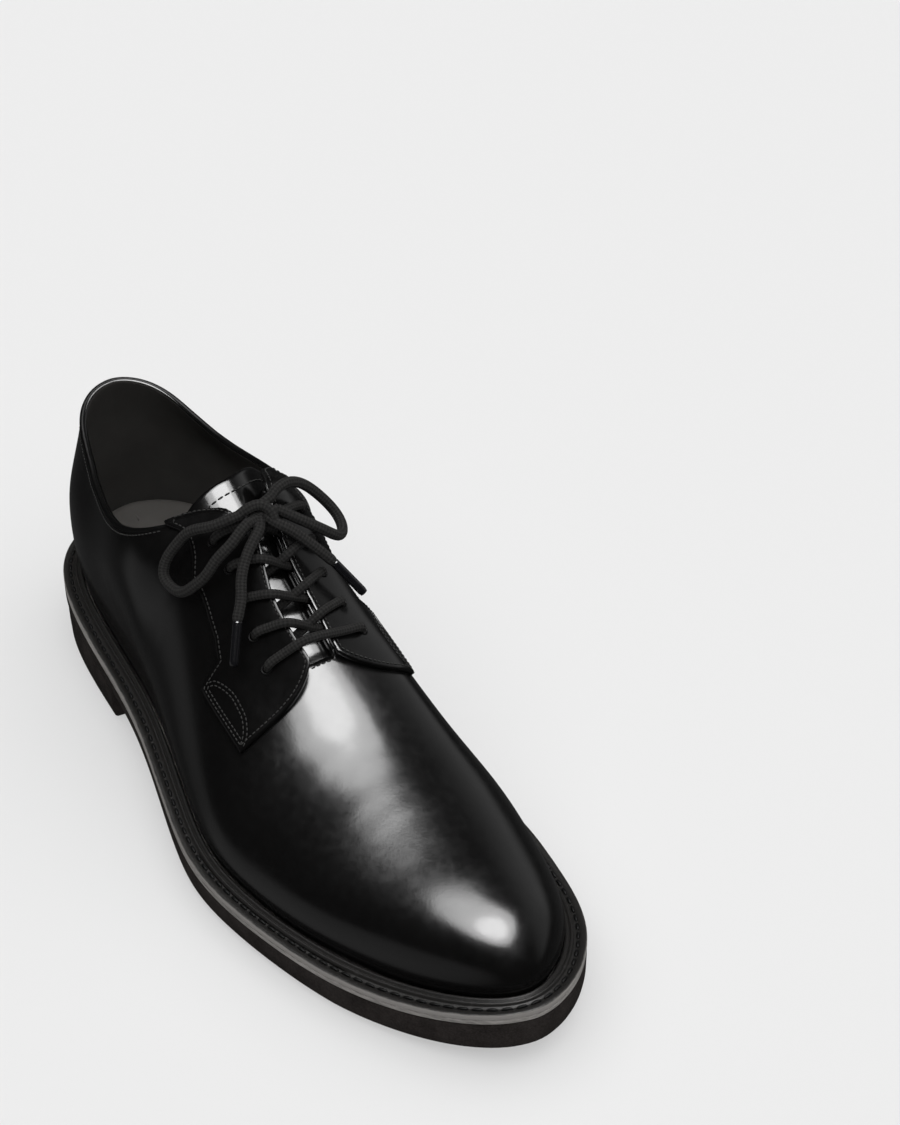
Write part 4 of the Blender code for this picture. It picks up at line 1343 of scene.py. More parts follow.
def make_collar():
    """Rolled bead round the collar and the row of stitches below it."""
    edge, normals = collar_line(0.0)
    form = Form()
    centre = edge - 0.5 * UPPER_WALL * normals
    centre[:, 2] += COLLAR_BEAD_LIFT
    add_tube(form, resample(centre[::4], BEAD_STEP), COLLAR_BEAD_RADIUS, BEAD_SIDES)
    form.piece("collar_bead", material("edge_leather"))
    stitches = Form()
    add_stitches(stitches, *collar_line(COLLAR_STITCH_INSET, FACING_ROWS[0][1]))
    stitches.piece("collar_stitches", material("thread"))


def make_back_seam():
    """Raised seam up the middle of the back with a row of stitches on each side."""
    shares = np.linspace(*BACK_SEAM_RUN, SEAM_STEPS)
    middle = np.full(SEAM_STEPS, HEEL_CENTRE - HEEL_UNROLLED)
    line, _ = SURFACES["outer"].place(middle, shares, BACK_SEAM_RISE - BACK_SEAM_RADIUS)
    form = Form()
    add_tube(form, resample(line[::3], BEAD_STEP), BACK_SEAM_RADIUS, SEAM_SIDES)
    form.piece("back_seam", material("edge_leather"))
    stitches = Form()
    for surface in SURFACES.values():
        add_stitches(stitches, *surface.place(middle + BACK_SEAM_ROW, shares))
    stitches.piece("back_seam_stitches", material("thread"))


def even_line(points, normals, places, step):
    """Closed outline at even steps, with its normals and surface places."""
    closed = [np.vstack([values, values[:1]]) for values in (points, normals, places)]
    lengths = chord_lengths(closed[0])
    at = np.linspace(0.0, lengths[-1], int(lengths[-1] / step), endpoint=False)
    return [rows_at(at, lengths, values) for values in closed]


def inset_line(points, normals, distance):
    """Line a distance inside a closed outline, and which of the outline's points it keeps."""
    ahead = unit(np.roll(points, -1, 0) - np.roll(points, 1, 0))
    inward = unit(np.cross(normals, ahead))
    if np.sum((points.mean(axis=0) - points) * inward) < 0.0:
        inward = -inward
    moved = points + distance * inward
    gaps = np.linalg.norm(moved[:, None] - points[None], axis=2).min(axis=1)
    return moved, gaps > INSET_KEPT * distance


def facing_lift(name, along, share):
    """Lift of a facing's top off the leather: it stands up towards the throat and at its ear."""
    crown, ear, _ = FACING_STAND[name]
    rise = crown * np.clip((share - FACING_HINGE) / (1.0 - FACING_HINGE), 0.0, 2.0) ** 2
    flare = ear * (1.0 - smooth_step(along, *EAR_FADE))
    flare = flare * smooth_step(share, *EAR_FLARE_SHARES)
    return FACING_TOP + rise * smooth_step(along, *STAND_RUN) + flare


def facing_grid(surface):
    """Top of a facing with its raised ear: points, normals and places on the side, as grids."""
    rows = np.linspace(0.0, 1.0, FACING_ROW_STEPS * (len(FACING_ROWS) - 1) + 1)
    rows = np.unique(np.concatenate([rows, FACING_EDGE_ROWS]))
    shares = np.unique(np.concatenate([np.linspace(0.0, 1.0, FACING_COLUMNS), FACING_EDGE_COLUMNS]))
    corner = EAR_CORNER * np.clip(1.0 - shares / EAR_CORNER_RUN, 0.0, 1.0) ** 2
    places = np.array([[facing_place(cut + (1.0 - cut) * row, share) for share, cut in zip(shares, corner)]
                       for row in rows])
    overlap = FACING_STAND[surface.name][2] * smooth_step(rows, *OVERLAP_COMES)
    overlap = overlap * (1.0 - smooth_step(rows, *OVERLAP_GOES))
    places[..., 1] += overlap[:, None] * (1.0 - shares[None, :]) ** 4
    lift = facing_lift(surface.name, places[..., 0], places[..., 1])
    flat, normals = surface.place(places[..., 0], places[..., 1], lift)
    wave = np.sin(math.pi * np.clip(EAR_WAVE_START + EAR_WAVE_RUN * shares, 0.0, 1.0))
    ear_rise = EAR_RISE[surface.name] * np.clip(wave, 0.0, 1.0) ** EAR_WAVE_POWER
    away = unit(unit(flat[0] - flat[EAR_ROW]) + EAR_LEAN)
    ears = np.array([flat[0] + (step * ear_rise)[:, None] * away for step in EAR_STEPS])
    grids = [np.concatenate([ears, flat])]
    for grid in (normals, places):
        grids.append(np.concatenate([np.repeat(grid[:1], len(ears), axis=0), grid]))
    return grids


def sew_facing(surface, corner, outline, normals, places):
    """Rows of stitches inside a facing's outline and round its half moon."""
    stitches = Form()
    line, keep = inset_line(outline, normals, FACING_STITCH_INSET)
    keep &= np.linalg.norm(outline - corner, axis=1) > EAR_STITCH_GAP
    add_stitches(stitches, line[keep], normals[keep])
    line, keep = inset_line(outline, normals, TIP_STITCH_INSET)
    moon_along, moon_share = HALF_MOON[0]
    keep &= (places[:, 0] > moon_along - TIP_ROW_BEHIND) & (places[:, 1] < moon_share - TIP_ROW_BELOW)
    add_stitches(stitches, line[keep], normals[keep])
    moon = np.array(HALF_MOON)
    along, share = spline(np.arange(len(moon)), moon, np.linspace(0.0, len(moon) - 1.0, MOON_STEPS)).T
    line, moon_normals = surface.place(along, share, facing_lift(surface.name, along, share))
    across = unit(np.cross(moon_normals, np.gradient(line, axis=0)))
    for shift in (0.0, HALF_MOON_ROW_GAP):
        add_stitches(stitches, line + surface.turn * shift * across, moon_normals)
    stitches.piece("facing_stitches_" + surface.name, material("thread"))


def make_eyelets(surface):
    """Rolled edges of a facing's eyelets."""
    eyelets = Form()
    turn = np.linspace(0.0, 2.0 * math.pi, EYELET_TURNS, endpoint=False)
    roll = np.linspace(0.0, 2.0 * math.pi, EYELET_ROLLS, endpoint=False)
    for along, share in EYELETS:
        centre, normal = surface.place(along, share, facing_lift(surface.name, along, share))
        across = unit(np.cross(normal, (1.0, 0.0, 0.0)))
        ahead = np.cross(across, normal)
        ring = []
        for angle in turn:
            spoke = math.cos(angle) * ahead + math.sin(angle) * across
            for around in roll:
                out = EYELET_RADIUS + EYELET_ROLL * math.cos(around)
                ring.append(centre + out * spoke + EYELET_ROLL * math.sin(around) * normal)
        ring += ring[:len(roll)]
        eyelets.add(ring, grid_faces(len(turn) + 1, len(roll), closed=True))
    eyelets.piece("eyelets_" + surface.name, material("edge_leather"), merge=0.01)


def make_facing(surface):
    """Lace facing with a rounded cut edge, its rows of stitches, half moon and eyelets."""
    flat, normals, places = facing_grid(surface)
    rim = tuple(np.array(rim_places(*flat.shape[:2])).T)
    outline, outline_normals, outline_places = even_line(flat[rim], normals[rim], places[rim], OUTLINE_STEP)
    gaps = np.linalg.norm(flat[:, :, None] - outline[None, None], axis=3).min(axis=2)
    fall = (1.0 - np.minimum(gaps / FACING_EDGE_ROUND, 1.0)) ** 2
    top = flat - (FACING_EDGE_ROUND * (1.0 - np.sqrt(1.0 - fall)))[..., None] * normals
    bottom = flat - (FACING_TOP - FACING_FOOT) * normals
    form = Form()
    add_slab(form, top, bottom)
    # The outer facing gets the less shiny copy of the leather, painted shade
    form.piece("facing_leather_" + surface.name, material(FACING_SHADE_BY_SIDE[surface.name]),
               ["facing_" + surface.name])
    sew_facing(surface, flat[0, -1], outline, outline_normals, outline_places)
    make_eyelets(surface)


def make_tongue():
    """Tongue with a rounded top, sewn across below it and to the vamp at its foot."""
    rows = np.concatenate([TONGUE_EDGE_ROWS, np.linspace(TONGUE_FIRST_ROW, 1.0, TONGUE_ROWS)])
    spread = np.linspace(-1.0, 1.0, TONGUE_COLUMNS)
    drop = UPPER_WALL + TONGUE_CLEARANCE
    top = []
    bottom = []
    for row in rows:
        pinch = TONGUE_PINCH * TONGUE_LEATHER * max(0.0, 1.0 - row / TONGUE_EDGE_ROWS[-1])
        for across in spread:
            name = "inner" if across > 0.0 else "outer"
            wide = TONGUE_SPREAD[name]
            half = wide + (TONGUE_FOOT_HALF - wide) * row
            edge = collar_edge(wide * abs(across))
            fall, power = TONGUE_FALL[name]
            corner = TONGUE_CORNER * abs(across) ** TONGUE_CORNER_POWER
            reach = TONGUE_REACH * (1.0 - fall * abs(across) ** power) * (1.0 - corner)
            along = edge - reach + (TONGUE_FOOT - edge + reach) * row
            top.append(tongue_point(along, across * half, drop + pinch))
            bottom.append(tongue_point(along, across * half, drop + TONGUE_LEATHER - pinch))
    shape = (len(rows), len(spread), 3)
    top = np.array(top).reshape(shape)
    bottom = np.array(bottom).reshape(shape)
    for grid in (top, bottom):
        for _ in range(TONGUE_SMOOTHING):
            grid[:, 1:-1] = 0.5 * grid[:, 1:-1] + 0.25 * (grid[:, :-2] + grid[:, 2:])
    form = Form()
    add_slab(form, top, bottom)
    form.piece("tongue_leather", material("tongue_leather"), ["tongue"])
    stitches = Form()
    row = int(np.argmin(np.abs((TONGUE_FOOT - TONGUE_TOP) * rows - TONGUE_STITCH_INSET)))
    up = np.cross(np.gradient(top, axis=0)[row], np.gradient(top, axis=1)[row])
    up = unit(up) * np.sign(up[:, 2:])
    sewn = slice(TONGUE_STITCH_ENDS, -TONGUE_STITCH_ENDS)
    add_stitches(stitches, top[row, sewn], up[sewn], *TONGUE_STITCH)
    edge = THROAT_END + VAMP_STITCH_INSET
    shares = np.linspace(0.0, 1.0, VAMP_STITCH_STEPS)
    caps = [section_at("outer", edge).cap_point(share) for share in shares]
    shares = np.linspace(1.0, 0.0, VAMP_STITCH_STEPS)
    caps += [section_at("inner", edge).cap_point(share) for share in shares[1:]]
    add_stitches(stitches, np.array(caps), np.tile(VAMP_STITCH_UP, (len(caps), 1)), *VAMP_STITCH)
    stitches.piece("tongue_stitches", material("thread"))


# Lace

def row_point(surface, along, share, drop=0.0):
    """Middle of a strand that lies on a facing."""
    lift = facing_lift(surface.name, along, share) + ROW_RADIUS + ROW_CLEARANCE + drop
    return surface.place(along, share, lift)[0]


def eyelet_route(surface, along, share, steps):
    """Strand from a facing's edge down its eyelet; steps are its distances ahead of the eyelet (mm)."""
    edge, middle, turn = steps
    return [
        row_point(surface, along + edge, STRAND_EDGE_SHARE),
        row_point(surface, along + middle, 0.5 * (1.0 + share)),
        row_point(surface, along + turn, share + EYELET_TURN[0], EYELET_TURN[1]),
        row_point(surface, along, share + EYELET_END[0], EYELET_END[1]),
    ]


def strand_route(number, name):
    """Strand of a row: from under the far facing over the near edge and down its eyelet."""
    far = SURFACES["inner" if name == "outer" else "outer"]
    along, share = EYELETS[number]
    pitch = EYELETS[number - 1][0] - along
    hidden = []
    for step, height, lift in (STRAND_START, STRAND_EDGE):
        hidden.append(far.place(along + step * pitch, height, ROW_UNDER[name] + lift)[0])
    over = eyelet_route(SURFACES[name], along, share, [step * pitch for step in STRAND_STEPS])
    return hidden + [0.5 * (hidden[1] + over[0])] + over


def bar_route():
    """Straight bar of the first row, from eyelet to eyelet."""
    outer, inner = [eyelet_route(surface, *EYELETS[0], BAR_STEPS) for surface in SURFACES.values()]
    return outer[::-1] + inner


def make_laces():
    """Rows of lace over the throat, each strand down its own eyelet."""
    for number in range(len(EYELETS)):
        form = Form()
        routes = [strand_route(number, name) for name in ("inner", "outer")] if number else [bar_route()]
        for route in routes:
            path = resample(route, LACE_STEP)
            lengths = chord_lengths(path)
            end = lengths[-1]
            radii = ROW_RADIUS * (1.0 - ROW_TAPER * smooth_step(lengths, end - ROW_TAPER_RUN, end))
            if number == 0:
                radii *= 1.0 - ROW_TAPER * smooth_step(-lengths, -ROW_TAPER_RUN, 0.0)
            add_tube(form, path, radii, LACE_SIDES)
        form.piece(f"lace_strands_{number + 1}", material("lace"), [f"lace_row_{number + 1}"])


def make_cord(name, route, node, aglet_route=None):
    """Free stretch of the lace as a tube, with its tip where it has one."""
    radius = bpy.context.scene.shoe_sizes.lace_diameter / MM / 2.0
    points = [np.array(point) for point in route]
    if aglet_route:
        inside, tip = [np.array(point) for point in aglet_route]
        points += [inside + share * (tip - inside) for share in END_IN_TIP]
        middle = np.array(KNOT_CENTRE)
        points.insert(0, middle + END_START * (points[0] - middle))
    path = resample(points, CORD_STEP)
    radii = np.full(len(path), radius)
    if aglet_route:
        depth = np.dot(path - inside, unit(tip - inside))
        radii *= 1.0 - TIP_SQUEEZE * smooth_step(depth, *TIP_SQUEEZE_RUN)
        form = Form()
        reach = resample([inside, 0.5 * (inside + tip), tip], TIP_STEP)
        lengths = chord_lengths(reach)
        shrink = TIP_WIDTH - TIP_TAPER * smooth_step(lengths, lengths[-1] - TIP_TAPER_RUN, lengths[-1])
        add_tube(form, reach, 0.5 * AGLET_DIAMETER * shrink, LACE_SIDES)
        side = node.rsplit("_", 1)[1]
        form.piece("tip_" + side, material("aglet"), ["aglet_" + side])
    form = Form()
    add_tube(form, path, radii, LACE_SIDES)
    cord = form.piece(name, material("lace"), [node])


def make_bow():
    """Knot, loops and ends of the bow."""
    make_cord("bow_loop_outer", LOOP_OUTER, "lace_loop_outer")
    make_cord("bow_loop_inner", LOOP_INNER, "lace_loop_inner")
    make_cord("bow_end_outer", END_OUTER, "lace_end_outer", AGLET_OUTER)
    make_cord("bow_end_inner", END_INNER, "lace_end_inner", AGLET_INNER)
    radius = bpy.context.scene.shoe_sizes.lace_diameter / MM / 2.0
    form = Form()
    for route in (KNOT_OVER, KNOT_UNDER, KNOT_WRAP):
        add_tube(form, resample(route, LACE_STEP), radius, LACE_SIDES)
    form.piece("bow_knot", material("lace"), ["lace_knot"])


# Sole

def ring_values(count):
    """Edge, normal, feather line, welt width and tuck, up the outer side and back down the inner."""
    rounds = []
    for name, order in (("outer", 1), ("inner", -1)):
        index = np.linspace(0.0, len(SIDES[name].edge) - 1.0, count)[::order][:-1]
        rounds.append(SIDES[name].at(index, "edge", "normal", "feather", "welt", "tuck"))
    edge, normal, foot, welt, tuck = [np.concatenate(pair) for pair in zip(*rounds)]
    grow = TOE_LEDGE * smooth_step(edge[:, 0], *TOE_LEDGE_RUN)
    return edge + grow[:, None] * normal, normal, foot, welt + grow, tuck


def cap_faces(total, start, flip):
    """Faces across a round trip, from its outer half to its inner half."""
    half = total // 2
    faces = [(0, 1, total - 1)]
    faces += [(k, k + 1, total - k - 1, total - k) for k in range(1, (total - 1) // 2)]
    if total % 2 == 0:
        faces.append((half - 1, half, half + 1))
    return [tuple(start + i for i in (face[::-1] if flip else face)) for face in faces]


def add_rings(form, rings):
    """Closed body through round trips of the sole, with faces across the first and the last."""
    ring = len(rings[0])
    faces = grid_faces(len(rings), ring, closed=True)
    faces += cap_faces(ring, 0, True) + cap_faces(ring, (len(rings) - 1) * ring, False)
    form.add(np.concatenate(rings), faces)


def add_layer(form, edge, normal, profile, low, high):
    """Sole layer: loops inset from the edge at shares of the height between two faces."""
    rings = []
    for inset, share in profile:
        place = edge - inset * normal
        height = low(place[:, 0]) * (1.0 - share) + high(place[:, 0]) * share
        rings.append(np.column_stack([place, height]))
    add_rings(form, rings)


def lip_top(along):
    """Top of the outsole's lip round the midsole."""
    return outsole_top(along) + OUTSOLE_LIP


def tread_height(along):
    """Underside of the outsole, thicker under the toe."""
    return np.maximum(underside(along) - TOE_TREAD * smooth_step(along, *TOE_TREAD_RUN), 0.0)


def make_sole():
    """Outsole, midsole and heel block."""
    edge, normal = ring_values(LAYER_STEPS)[:2]
    form = Form()
    add_layer(form, edge, normal, OUTSOLE_PROFILE, tread_height, lip_top)
    form.piece("outsole_tread", material("rubber"), ["outsole"])
    form = Form()
    add_layer(form, edge, normal, MIDSOLE_PROFILE, lip_top,
              lambda x: outsole_top(x) + 2.0 * GAP + MIDSOLE_EDGE)
    form.piece("midsole_band", material("midsole"), ["midsole"])
    halves = []
    for name, breast in (("outer", HEEL_BREAST_OUTER), ("inner", HEEL_BREAST_INNER)):
        side = SIDES[name]
        halves.append(side.at(np.linspace(0.0, side.index_at(breast), BLOCK_STEPS), "edge", "normal"))
    edge, normal = [np.concatenate([outer, inner[:0:-1]]) for outer, inner in zip(*halves)]
    form = Form()
    add_layer(form, edge, normal, HEEL_PROFILE, np.zeros_like, lambda x: underside(x) - GAP)
    form.piece("heel_block", material("rubber"), ["heel"])


def make_welt():
    """Storm welt: two raised ribs against the upper, a sewn ledge and a trimmed edge."""
    edge, normal, foot, welt, tuck = ring_values(WELT_STEPS)
    girth = section_value("girth", foot[:, 0])
    rib = smooth_step(welt, *WELT_RIB_RUN)
    lean = np.sin(np.minimum((WELT_EDGE + WELT_RIB * rib) / girth, 1.0) * math.pi / 2.0)
    wall = tuck * lean + GAP + WELT_CLEARANCE
    rows = [(np.full(len(welt), GAP + WELT_CLEARANCE), np.zeros(len(welt)))]
    for out, up in WELT_RIBS:
        rows.append((wall + out, WELT_EDGE + up * rib))
    for inset, up in WELT_LEDGE:
        rows.append((welt - inset, np.full(len(welt), WELT_EDGE - up)))
    vertices = []
    for number, (out, up) in enumerate(rows):
        out = np.minimum(out, welt - WELT_ROW_GAP * (len(rows) - 1 - number))
        place = foot + out[:, None] * normal
        vertices.append(np.column_stack([place, feather_height(place[:, 0]) + up]))
    grid = np.array(vertices).transpose(1, 0, 2)
    grid = np.concatenate([grid, grid[:1]])
    form = Form()
    wraps = np.zeros((len(grid), len(rows), 2))
    wraps[:, -len(WELT_EDGE_STAIN):, 1] = WELT_EDGE_STAIN
    form.add(grid, grid_faces(len(grid), grid.shape[1], closed=True), wraps.reshape(-1, 2))
    form.piece("welt_strip", material("welt_leather"), ["welt"], merge=0.005)
    wide = welt > WELT_STITCH_INSET + WELT_STITCH_ROOM
    starts = np.where(wide & ~np.roll(wide, 1))[0]
    stitches = Form()
    for start in starts:
        run = 0
        while run < len(wide) and wide[(start + run) % len(wide)]:
            run += 1
        order = (start + np.arange(run)) % len(wide)
        place = edge[order] - WELT_STITCH_INSET * normal[order]
        line = np.column_stack([place, feather_height(place[:, 0]) + WELT_EDGE - WELT_GROOVE])
        add_stitches(stitches, line, np.tile((0.0, 0.0, 1.0), (len(line), 1)), WELT_STITCH_LENGTH,
                     WELT_STITCH_PITCH, WELT_STITCH_WIDTH)
    stitches.piece("welt_stitches", material("welt_thread"))


def make_insole():
    """Insole with its padded sock, up the inside of the wall at its edge."""
    _, normal, foot, _, tuck = ring_values(LAYER_STEPS)
    girth = section_value("girth", foot[:, 0])
    thick = SOCK_HEEL + (SOCK_BALL - SOCK_HEEL) * smooth_step(foot[:, 0], *SOCK_SLOPE)
    vertices = []
    for share, inset in SOCK_PROFILE:
        up = thick * share
        wall = tuck * np.sin(np.minimum(up / girth, 1.0) * math.pi / 2.0) - UPPER_WALL
        place = foot + (wall - inset)[:, None] * normal
        vertices.append(np.column_stack([place, feather_height(place[:, 0]) + up + GAP]))
    form = Form()
    add_rings(form, vertices)
    form.piece("insole_sock", material("insole"), ["insole"])


# Stage

def make_sun(name, energy, source, degrees):
    """Sun that shines from a direction and is some degrees wide."""
    light = bpy.data.lights.new(name, "SUN")
    light.energy = energy
    light.angle = math.radians(degrees)
    lamp = add_object(name, light)
    lamp.location = source
    lamp.rotation_euler = (-Vector(source)).to_track_quat("-Z", "Y").to_euler()
    return lamp


def make_backdrop(settings):
    """Pale wall round the floor, seen by the camera only."""
    turns = np.linspace(0.0, 2.0 * math.pi, BACKDROP_SIDES, endpoint=False)
    ring = BACKDROP_REACH * settings.floor_size * np.column_stack([np.cos(turns), np.sin(turns)])
    rows = [np.column_stack([ring, np.full(BACKDROP_SIDES, height)]) for height in BACKDROP_HEIGHTS]
    mesh = bpy.data.meshes.new("backdrop")
    mesh.from_pydata(np.concatenate(rows).tolist(), [], grid_faces(2, BACKDROP_SIDES, closed=True))
    shader = Shader("backdrop")
    shader.look(Base_Color=BLACK, Roughness=1.0, Specular_IOR_Level=0.0, Emission_Color=WHITE,
                Emission_Strength=settings.backdrop_light)
    mesh.materials.append(shader.material)
    wall = add_object("backdrop", mesh)
    wall.visible_diffuse = False
    wall.visible_glossy = False
    wall.visible_shadow = False


def make_camera():
    """Camera at the photo's angle."""
    camera = bpy.data.cameras.new("camera")
    camera.lens = CAMERA_LENS
    camera.clip_end = CAMERA_CLIP
    holder = add_object("camera", camera)
    azimuth = math.radians(90.0 - CAMERA_AZIMUTH)
    elevation = math.radians(CAMERA_ELEVATION)
    back = Vector((math.cos(elevation) * math.cos(azimuth), -math.cos(elevation) * math.sin(azimuth),
                   math.sin(elevation)))
    target = Vector(CAMERA_TARGET) * MM
    holder.location = target + back * CAMERA_DISTANCE * MM
    holder.rotation_euler = (-back).to_track_quat("-Z", "Y").to_euler()
    bpy.context.scene.camera = holder


def make_floor(settings):
    """Pale square floor that gives off some light and has no reflection."""
    size = settings.floor_size / 2.0
    mesh = bpy.data.meshes.new("floor")
    mesh.from_pydata([(-size, -size, 0.0), (size, -size, 0.0), (size, size, 0.0), (-size, size, 0.0)], [],
                     [(0, 1, 2, 3)])
    shader = Shader("floor")
    shader.look(Base_Color=shade(settings.floor, 1.0), Roughness=0.9, Specular_IOR_Level=0.0,
                Emission_Color=WHITE, Emission_Strength=settings.floor_light)
    mesh.materials.append(shader.material)
    floor = add_object("floor", mesh)
    floor.location.z = -FLOOR_DROP
    floor.visible_glossy = False
    return floor


def make_sky(settings):
    """Surroundings whose brightness depends on the direction."""
    world = bpy.data.worlds.new("studio")
    world.use_nodes = True
    nodes = world.node_tree.nodes
    links = world.node_tree.links
    direction = nodes.new("ShaderNodeSeparateXYZ")
    links.new(nodes.new("ShaderNodeTexCoord").outputs["Generated"], direction.inputs["Vector"])

    def fade(axis, span, first, last):
        made = nodes.new("ShaderNodeMapRange")
        made.interpolation_type = "SMOOTHSTEP"
        links.new(direction.outputs[axis], made.inputs["Value"])
        for key, value in zip(("From Min", "From Max", "To Min", "To Max"), (*span, first, last)):
            made.inputs[key].default_value = value
        return made.outputs["Result"]

    def join(operation, first, second):
        made = nodes.new("ShaderNodeMath")
        made.operation = operation
        links.new(first, made.inputs[0])
        links.new(second, made.inputs[1])
        return made.outputs["Value"]

    inner = join("MULTIPLY", fade("Y", INNER_GLOW[0], 0.0, settings.bounce),
                 fade("Z", INNER_GLOW[1], 0.0, 1.0))
    outer = join("MULTIPLY", fade("Y", OUTER_GLOW[0], settings.floor_glow, 0.0),
                 fade("Z", OUTER_GLOW[1], 1.0, 0.0))
    glow = nodes.new("ShaderNodeMath")
    below = fade("Z", BELOW_GLOW, settings.floor_sheen, 0.0)
    links.new(join("ADD", join("ADD", inner, outer), below), glow.inputs[0])
    glow.inputs[1].default_value = settings.room
    links.new(glow.outputs["Value"], nodes["Background"].inputs["Strength"])
    nodes["Background"].inputs["Color"].default_value = WHITE
    bpy.context.scene.world = world


def make_stage(settings):
    """Camera at the photo's angle, pale floor and soft studio light."""
    bpy.context.scene.view_settings.view_transform = "Standard"
    make_camera()
    floor = make_floor(settings)
    make_backdrop(settings)
    make_sun("softbox_light", settings.light, HALO_FROM, LIGHT_ANGLE).visible_glossy = False
    make_sun("softbox_halo", settings.halo, HALO_FROM, HALO_ANGLE).visible_diffuse = False
    make_sun("softbox_core", settings.core, CORE_FROM, CORE_ANGLE).visible_diffuse = False
    make_sky(settings)


# Settings

def colour_setting(name, description, default):
    """Colour setting of the shoe or the stage."""
    return bpy.props.FloatVectorProperty(name=name, description=description, default=default, size=3,
                                         min=0.0, max=1.0, subtype="COLOR")


def number_setting(name, description, default, high=10.0, low=0.0, unit="NONE"):
    """Number setting of the shoe or the stage."""
    return bpy.props.FloatProperty(name=name, description=description, default=default, min=low, max=high,
                                   unit=unit)


class ShoeLook(bpy.types.PropertyGroup):
    """Colours of the shoe's materials"""

    leather: colour_setting("Leather", "Polished leather of upper, facings and tongue",
                            (0.0035, 0.0034, 0.0034))
    lining: colour_setting("Lining", "Lining inside the upper", (0.042, 0.040, 0.038))
    insole: colour_setting("Insole", "Sock leather inside the shoe", (0.11, 0.104, 0.098))
    welt: colour_setting("Welt", "Storm welt", (0.016, 0.0152, 0.0145))
    midsole: colour_setting("Midsole", "Edge band between welt and outsole", (0.23, 0.22, 0.21))
    rubber: colour_setting("Rubber", "Outsole and heel", (0.022, 0.019, 0.018))
    lace: colour_setting("Lace", "Braided lace", (0.028, 0.0275, 0.027))
    thread: colour_setting("Thread", "Sewing thread", (0.036, 0.036, 0.035))
    welt_thread: colour_setting("Welt Thread", "Thread of the welt", (0.006, 0.006, 0.006))
    aglet: colour_setting("Aglet", "Lace tips", (0.006, 0.006, 0.007))


class ShoeSizes(bpy.types.PropertyGroup):
    """Sizes that may be changed without moving the solids"""

    lace_diameter: number_setting("Lace Diameter", "Diameter of the round lace", LACE_DIAMETER * MM,
                                  0.0042, 0.002, "LENGTH")


class ShoeStage(bpy.types.PropertyGroup):
    """Floor and light of the studio"""

    floor: colour_setting("Floor", "Colour of the floor", (0.34, 0.34, 0.34))
    backdrop_light: number_setting("Backdrop Light", "Brightness of the wall behind", 0.84)
    floor_light: number_setting("Floor Light", "Light from below through the floor", 0.43)
    floor_size: number_setting("Floor Size", "Side of the square floor", 12.0, 50.0, 1.0, "LENGTH")
    light: number_setting("Softbox Light", "Light of the softbox on matte surfaces", 3.75, 100.0)
    halo: number_setting("Softbox Halo", "Wide shine of the softbox in glossy surfaces", 19.0, 500.0)
    core: number_setting("Softbox Core", "Shine of the softbox's middle", 6.6, 500.0)
    bounce: number_setting("Side Bounce", "Strength of the light from the inner side", 0.7)
    floor_glow: number_setting("Floor Glow", "How bright glossy surfaces show the floor", 0.5)
    floor_sheen: number_setting("Floor Sheen", "Dim reflection of the floor all round", 0.045)
    room: number_setting("Room Light", "Even light from all round", 0.005)


# Operators, panel and registration

class SHOE_OT_stage(bpy.types.Operator):
    """Set up camera, floor and studio light"""
    bl_idname = "shoe.stage"
    bl_label = "Stage"

    def execute(self, context):
        make_stage(context.scene.shoe_stage)
        return {"FINISHED"}


class SHOE_OT_bow(bpy.types.Operator):
    """Tie the bow: knot, loops, ends and lace tips"""
    bl_idname = "shoe.bow"
    bl_label = "Bow"

    def execute(self, context):
        make_bow()
        return {"FINISHED"}


class SHOE_OT_laces(bpy.types.Operator):
    """Lay the rows of lace over the throat"""
    bl_idname = "shoe.laces"
    bl_label = "Lace Rows"

    def execute(self, context):
        make_laces()
        return {"FINISHED"}


class SHOE_OT_upper(bpy.types.Operator):
    """Make the creased leather of the upper"""
    bl_idname = "shoe.upper"
    bl_label = "Upper"

    def execute(self, context):
        make_upper()
        return {"FINISHED"}


class SHOE_OT_collar(bpy.types.Operator):
    """Roll and sew the collar's edge"""
    bl_idname = "shoe.collar"
    bl_label = "Collar"

    def execute(self, context):
        make_collar()
        make_back_seam()
        return {"FINISHED"}


class SHOE_OT_facings(bpy.types.Operator):
    """Make both lace facings with stitches and eyelets"""
    bl_idname = "shoe.facings"
    bl_label = "Facings"

    def execute(self, context):
        for surface in SURFACES.values():
            make_facing(surface)
        return {"FINISHED"}


class SHOE_OT_tongue(bpy.types.Operator):
    """Make the tongue and its stitches"""
    bl_idname = "shoe.tongue"
    bl_label = "Tongue"

    def execute(self, context):
        make_tongue()
        return {"FINISHED"}


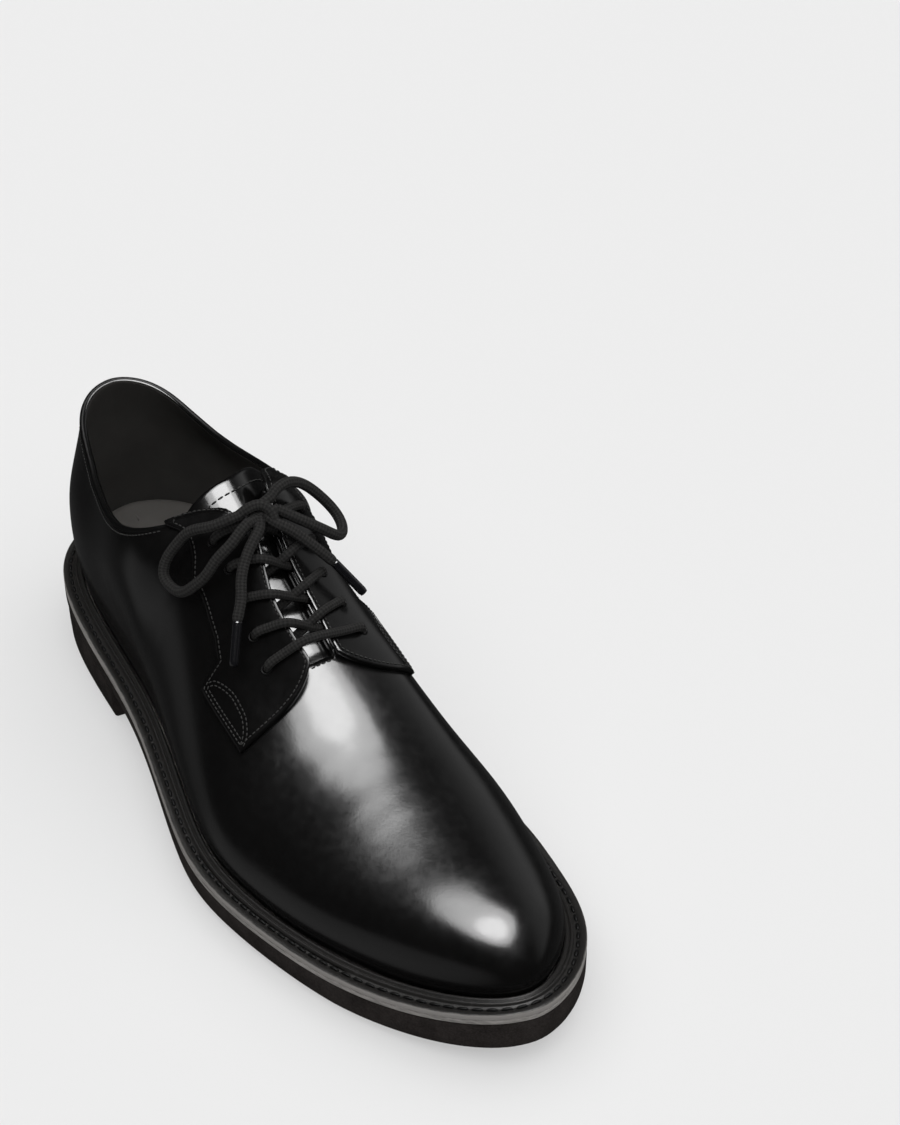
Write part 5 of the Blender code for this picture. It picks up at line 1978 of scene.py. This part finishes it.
class SHOE_OT_welt(bpy.types.Operator):
    """Make the storm welt and its stitches"""
    bl_idname = "shoe.welt"
    bl_label = "Welt"

    def execute(self, context):
        make_welt()
        return {"FINISHED"}


class SHOE_OT_sole(bpy.types.Operator):
    """Make outsole, midsole and heel"""
    bl_idname = "shoe.sole"
    bl_label = "Sole"

    def execute(self, context):
        make_sole()
        return {"FINISHED"}


class SHOE_OT_insole(bpy.types.Operator):
    """Make the insole and its padded sock"""
    bl_idname = "shoe.insole"
    bl_label = "Insole"

    def execute(self, context):
        make_insole()
        return {"FINISHED"}


OPERATORS = (SHOE_OT_stage, SHOE_OT_bow, SHOE_OT_laces, SHOE_OT_upper, SHOE_OT_collar, SHOE_OT_facings,
             SHOE_OT_tongue, SHOE_OT_welt, SHOE_OT_sole, SHOE_OT_insole)
SETTINGS = {"shoe_look": ShoeLook, "shoe_sizes": ShoeSizes, "shoe_stage": ShoeStage}


class SHOE_PT_panel(bpy.types.Panel):
    """Lists the steps that dress the shoe"""
    bl_idname = "SHOE_PT_panel"
    bl_label = "Derby Shoe"
    bl_space_type = "VIEW_3D"
    bl_region_type = "UI"
    bl_category = "Shoe"

    def draw(self, context):
        for operator in OPERATORS:
            self.layout.operator(operator.bl_idname)
        for name, group in SETTINGS.items():
            for setting in group.__annotations__:
                self.layout.prop(getattr(context.scene, name), setting)


def register():
    """Make settings, operators and panel known to Blender."""
    for group in SETTINGS.values():
        bpy.utils.register_class(group)
    for kind in OPERATORS + (SHOE_PT_panel,):
        bpy.utils.register_class(kind)
    for name, group in SETTINGS.items():
        setattr(bpy.types.Scene, name, bpy.props.PointerProperty(type=group))


def unregister():
    """Take settings, operators and panel out again."""
    for name in SETTINGS:
        delattr(bpy.types.Scene, name)
    for kind in (SHOE_PT_panel,) + OPERATORS[::-1] + tuple(SETTINGS.values()):
        bpy.utils.unregister_class(kind)


def main():
    """Dress the shoe."""
    register()
    for operator in OPERATORS:
        group, name = operator.bl_idname.split(".")
        getattr(getattr(bpy.ops, group), name)()


if __name__ == "__main__":
    main()
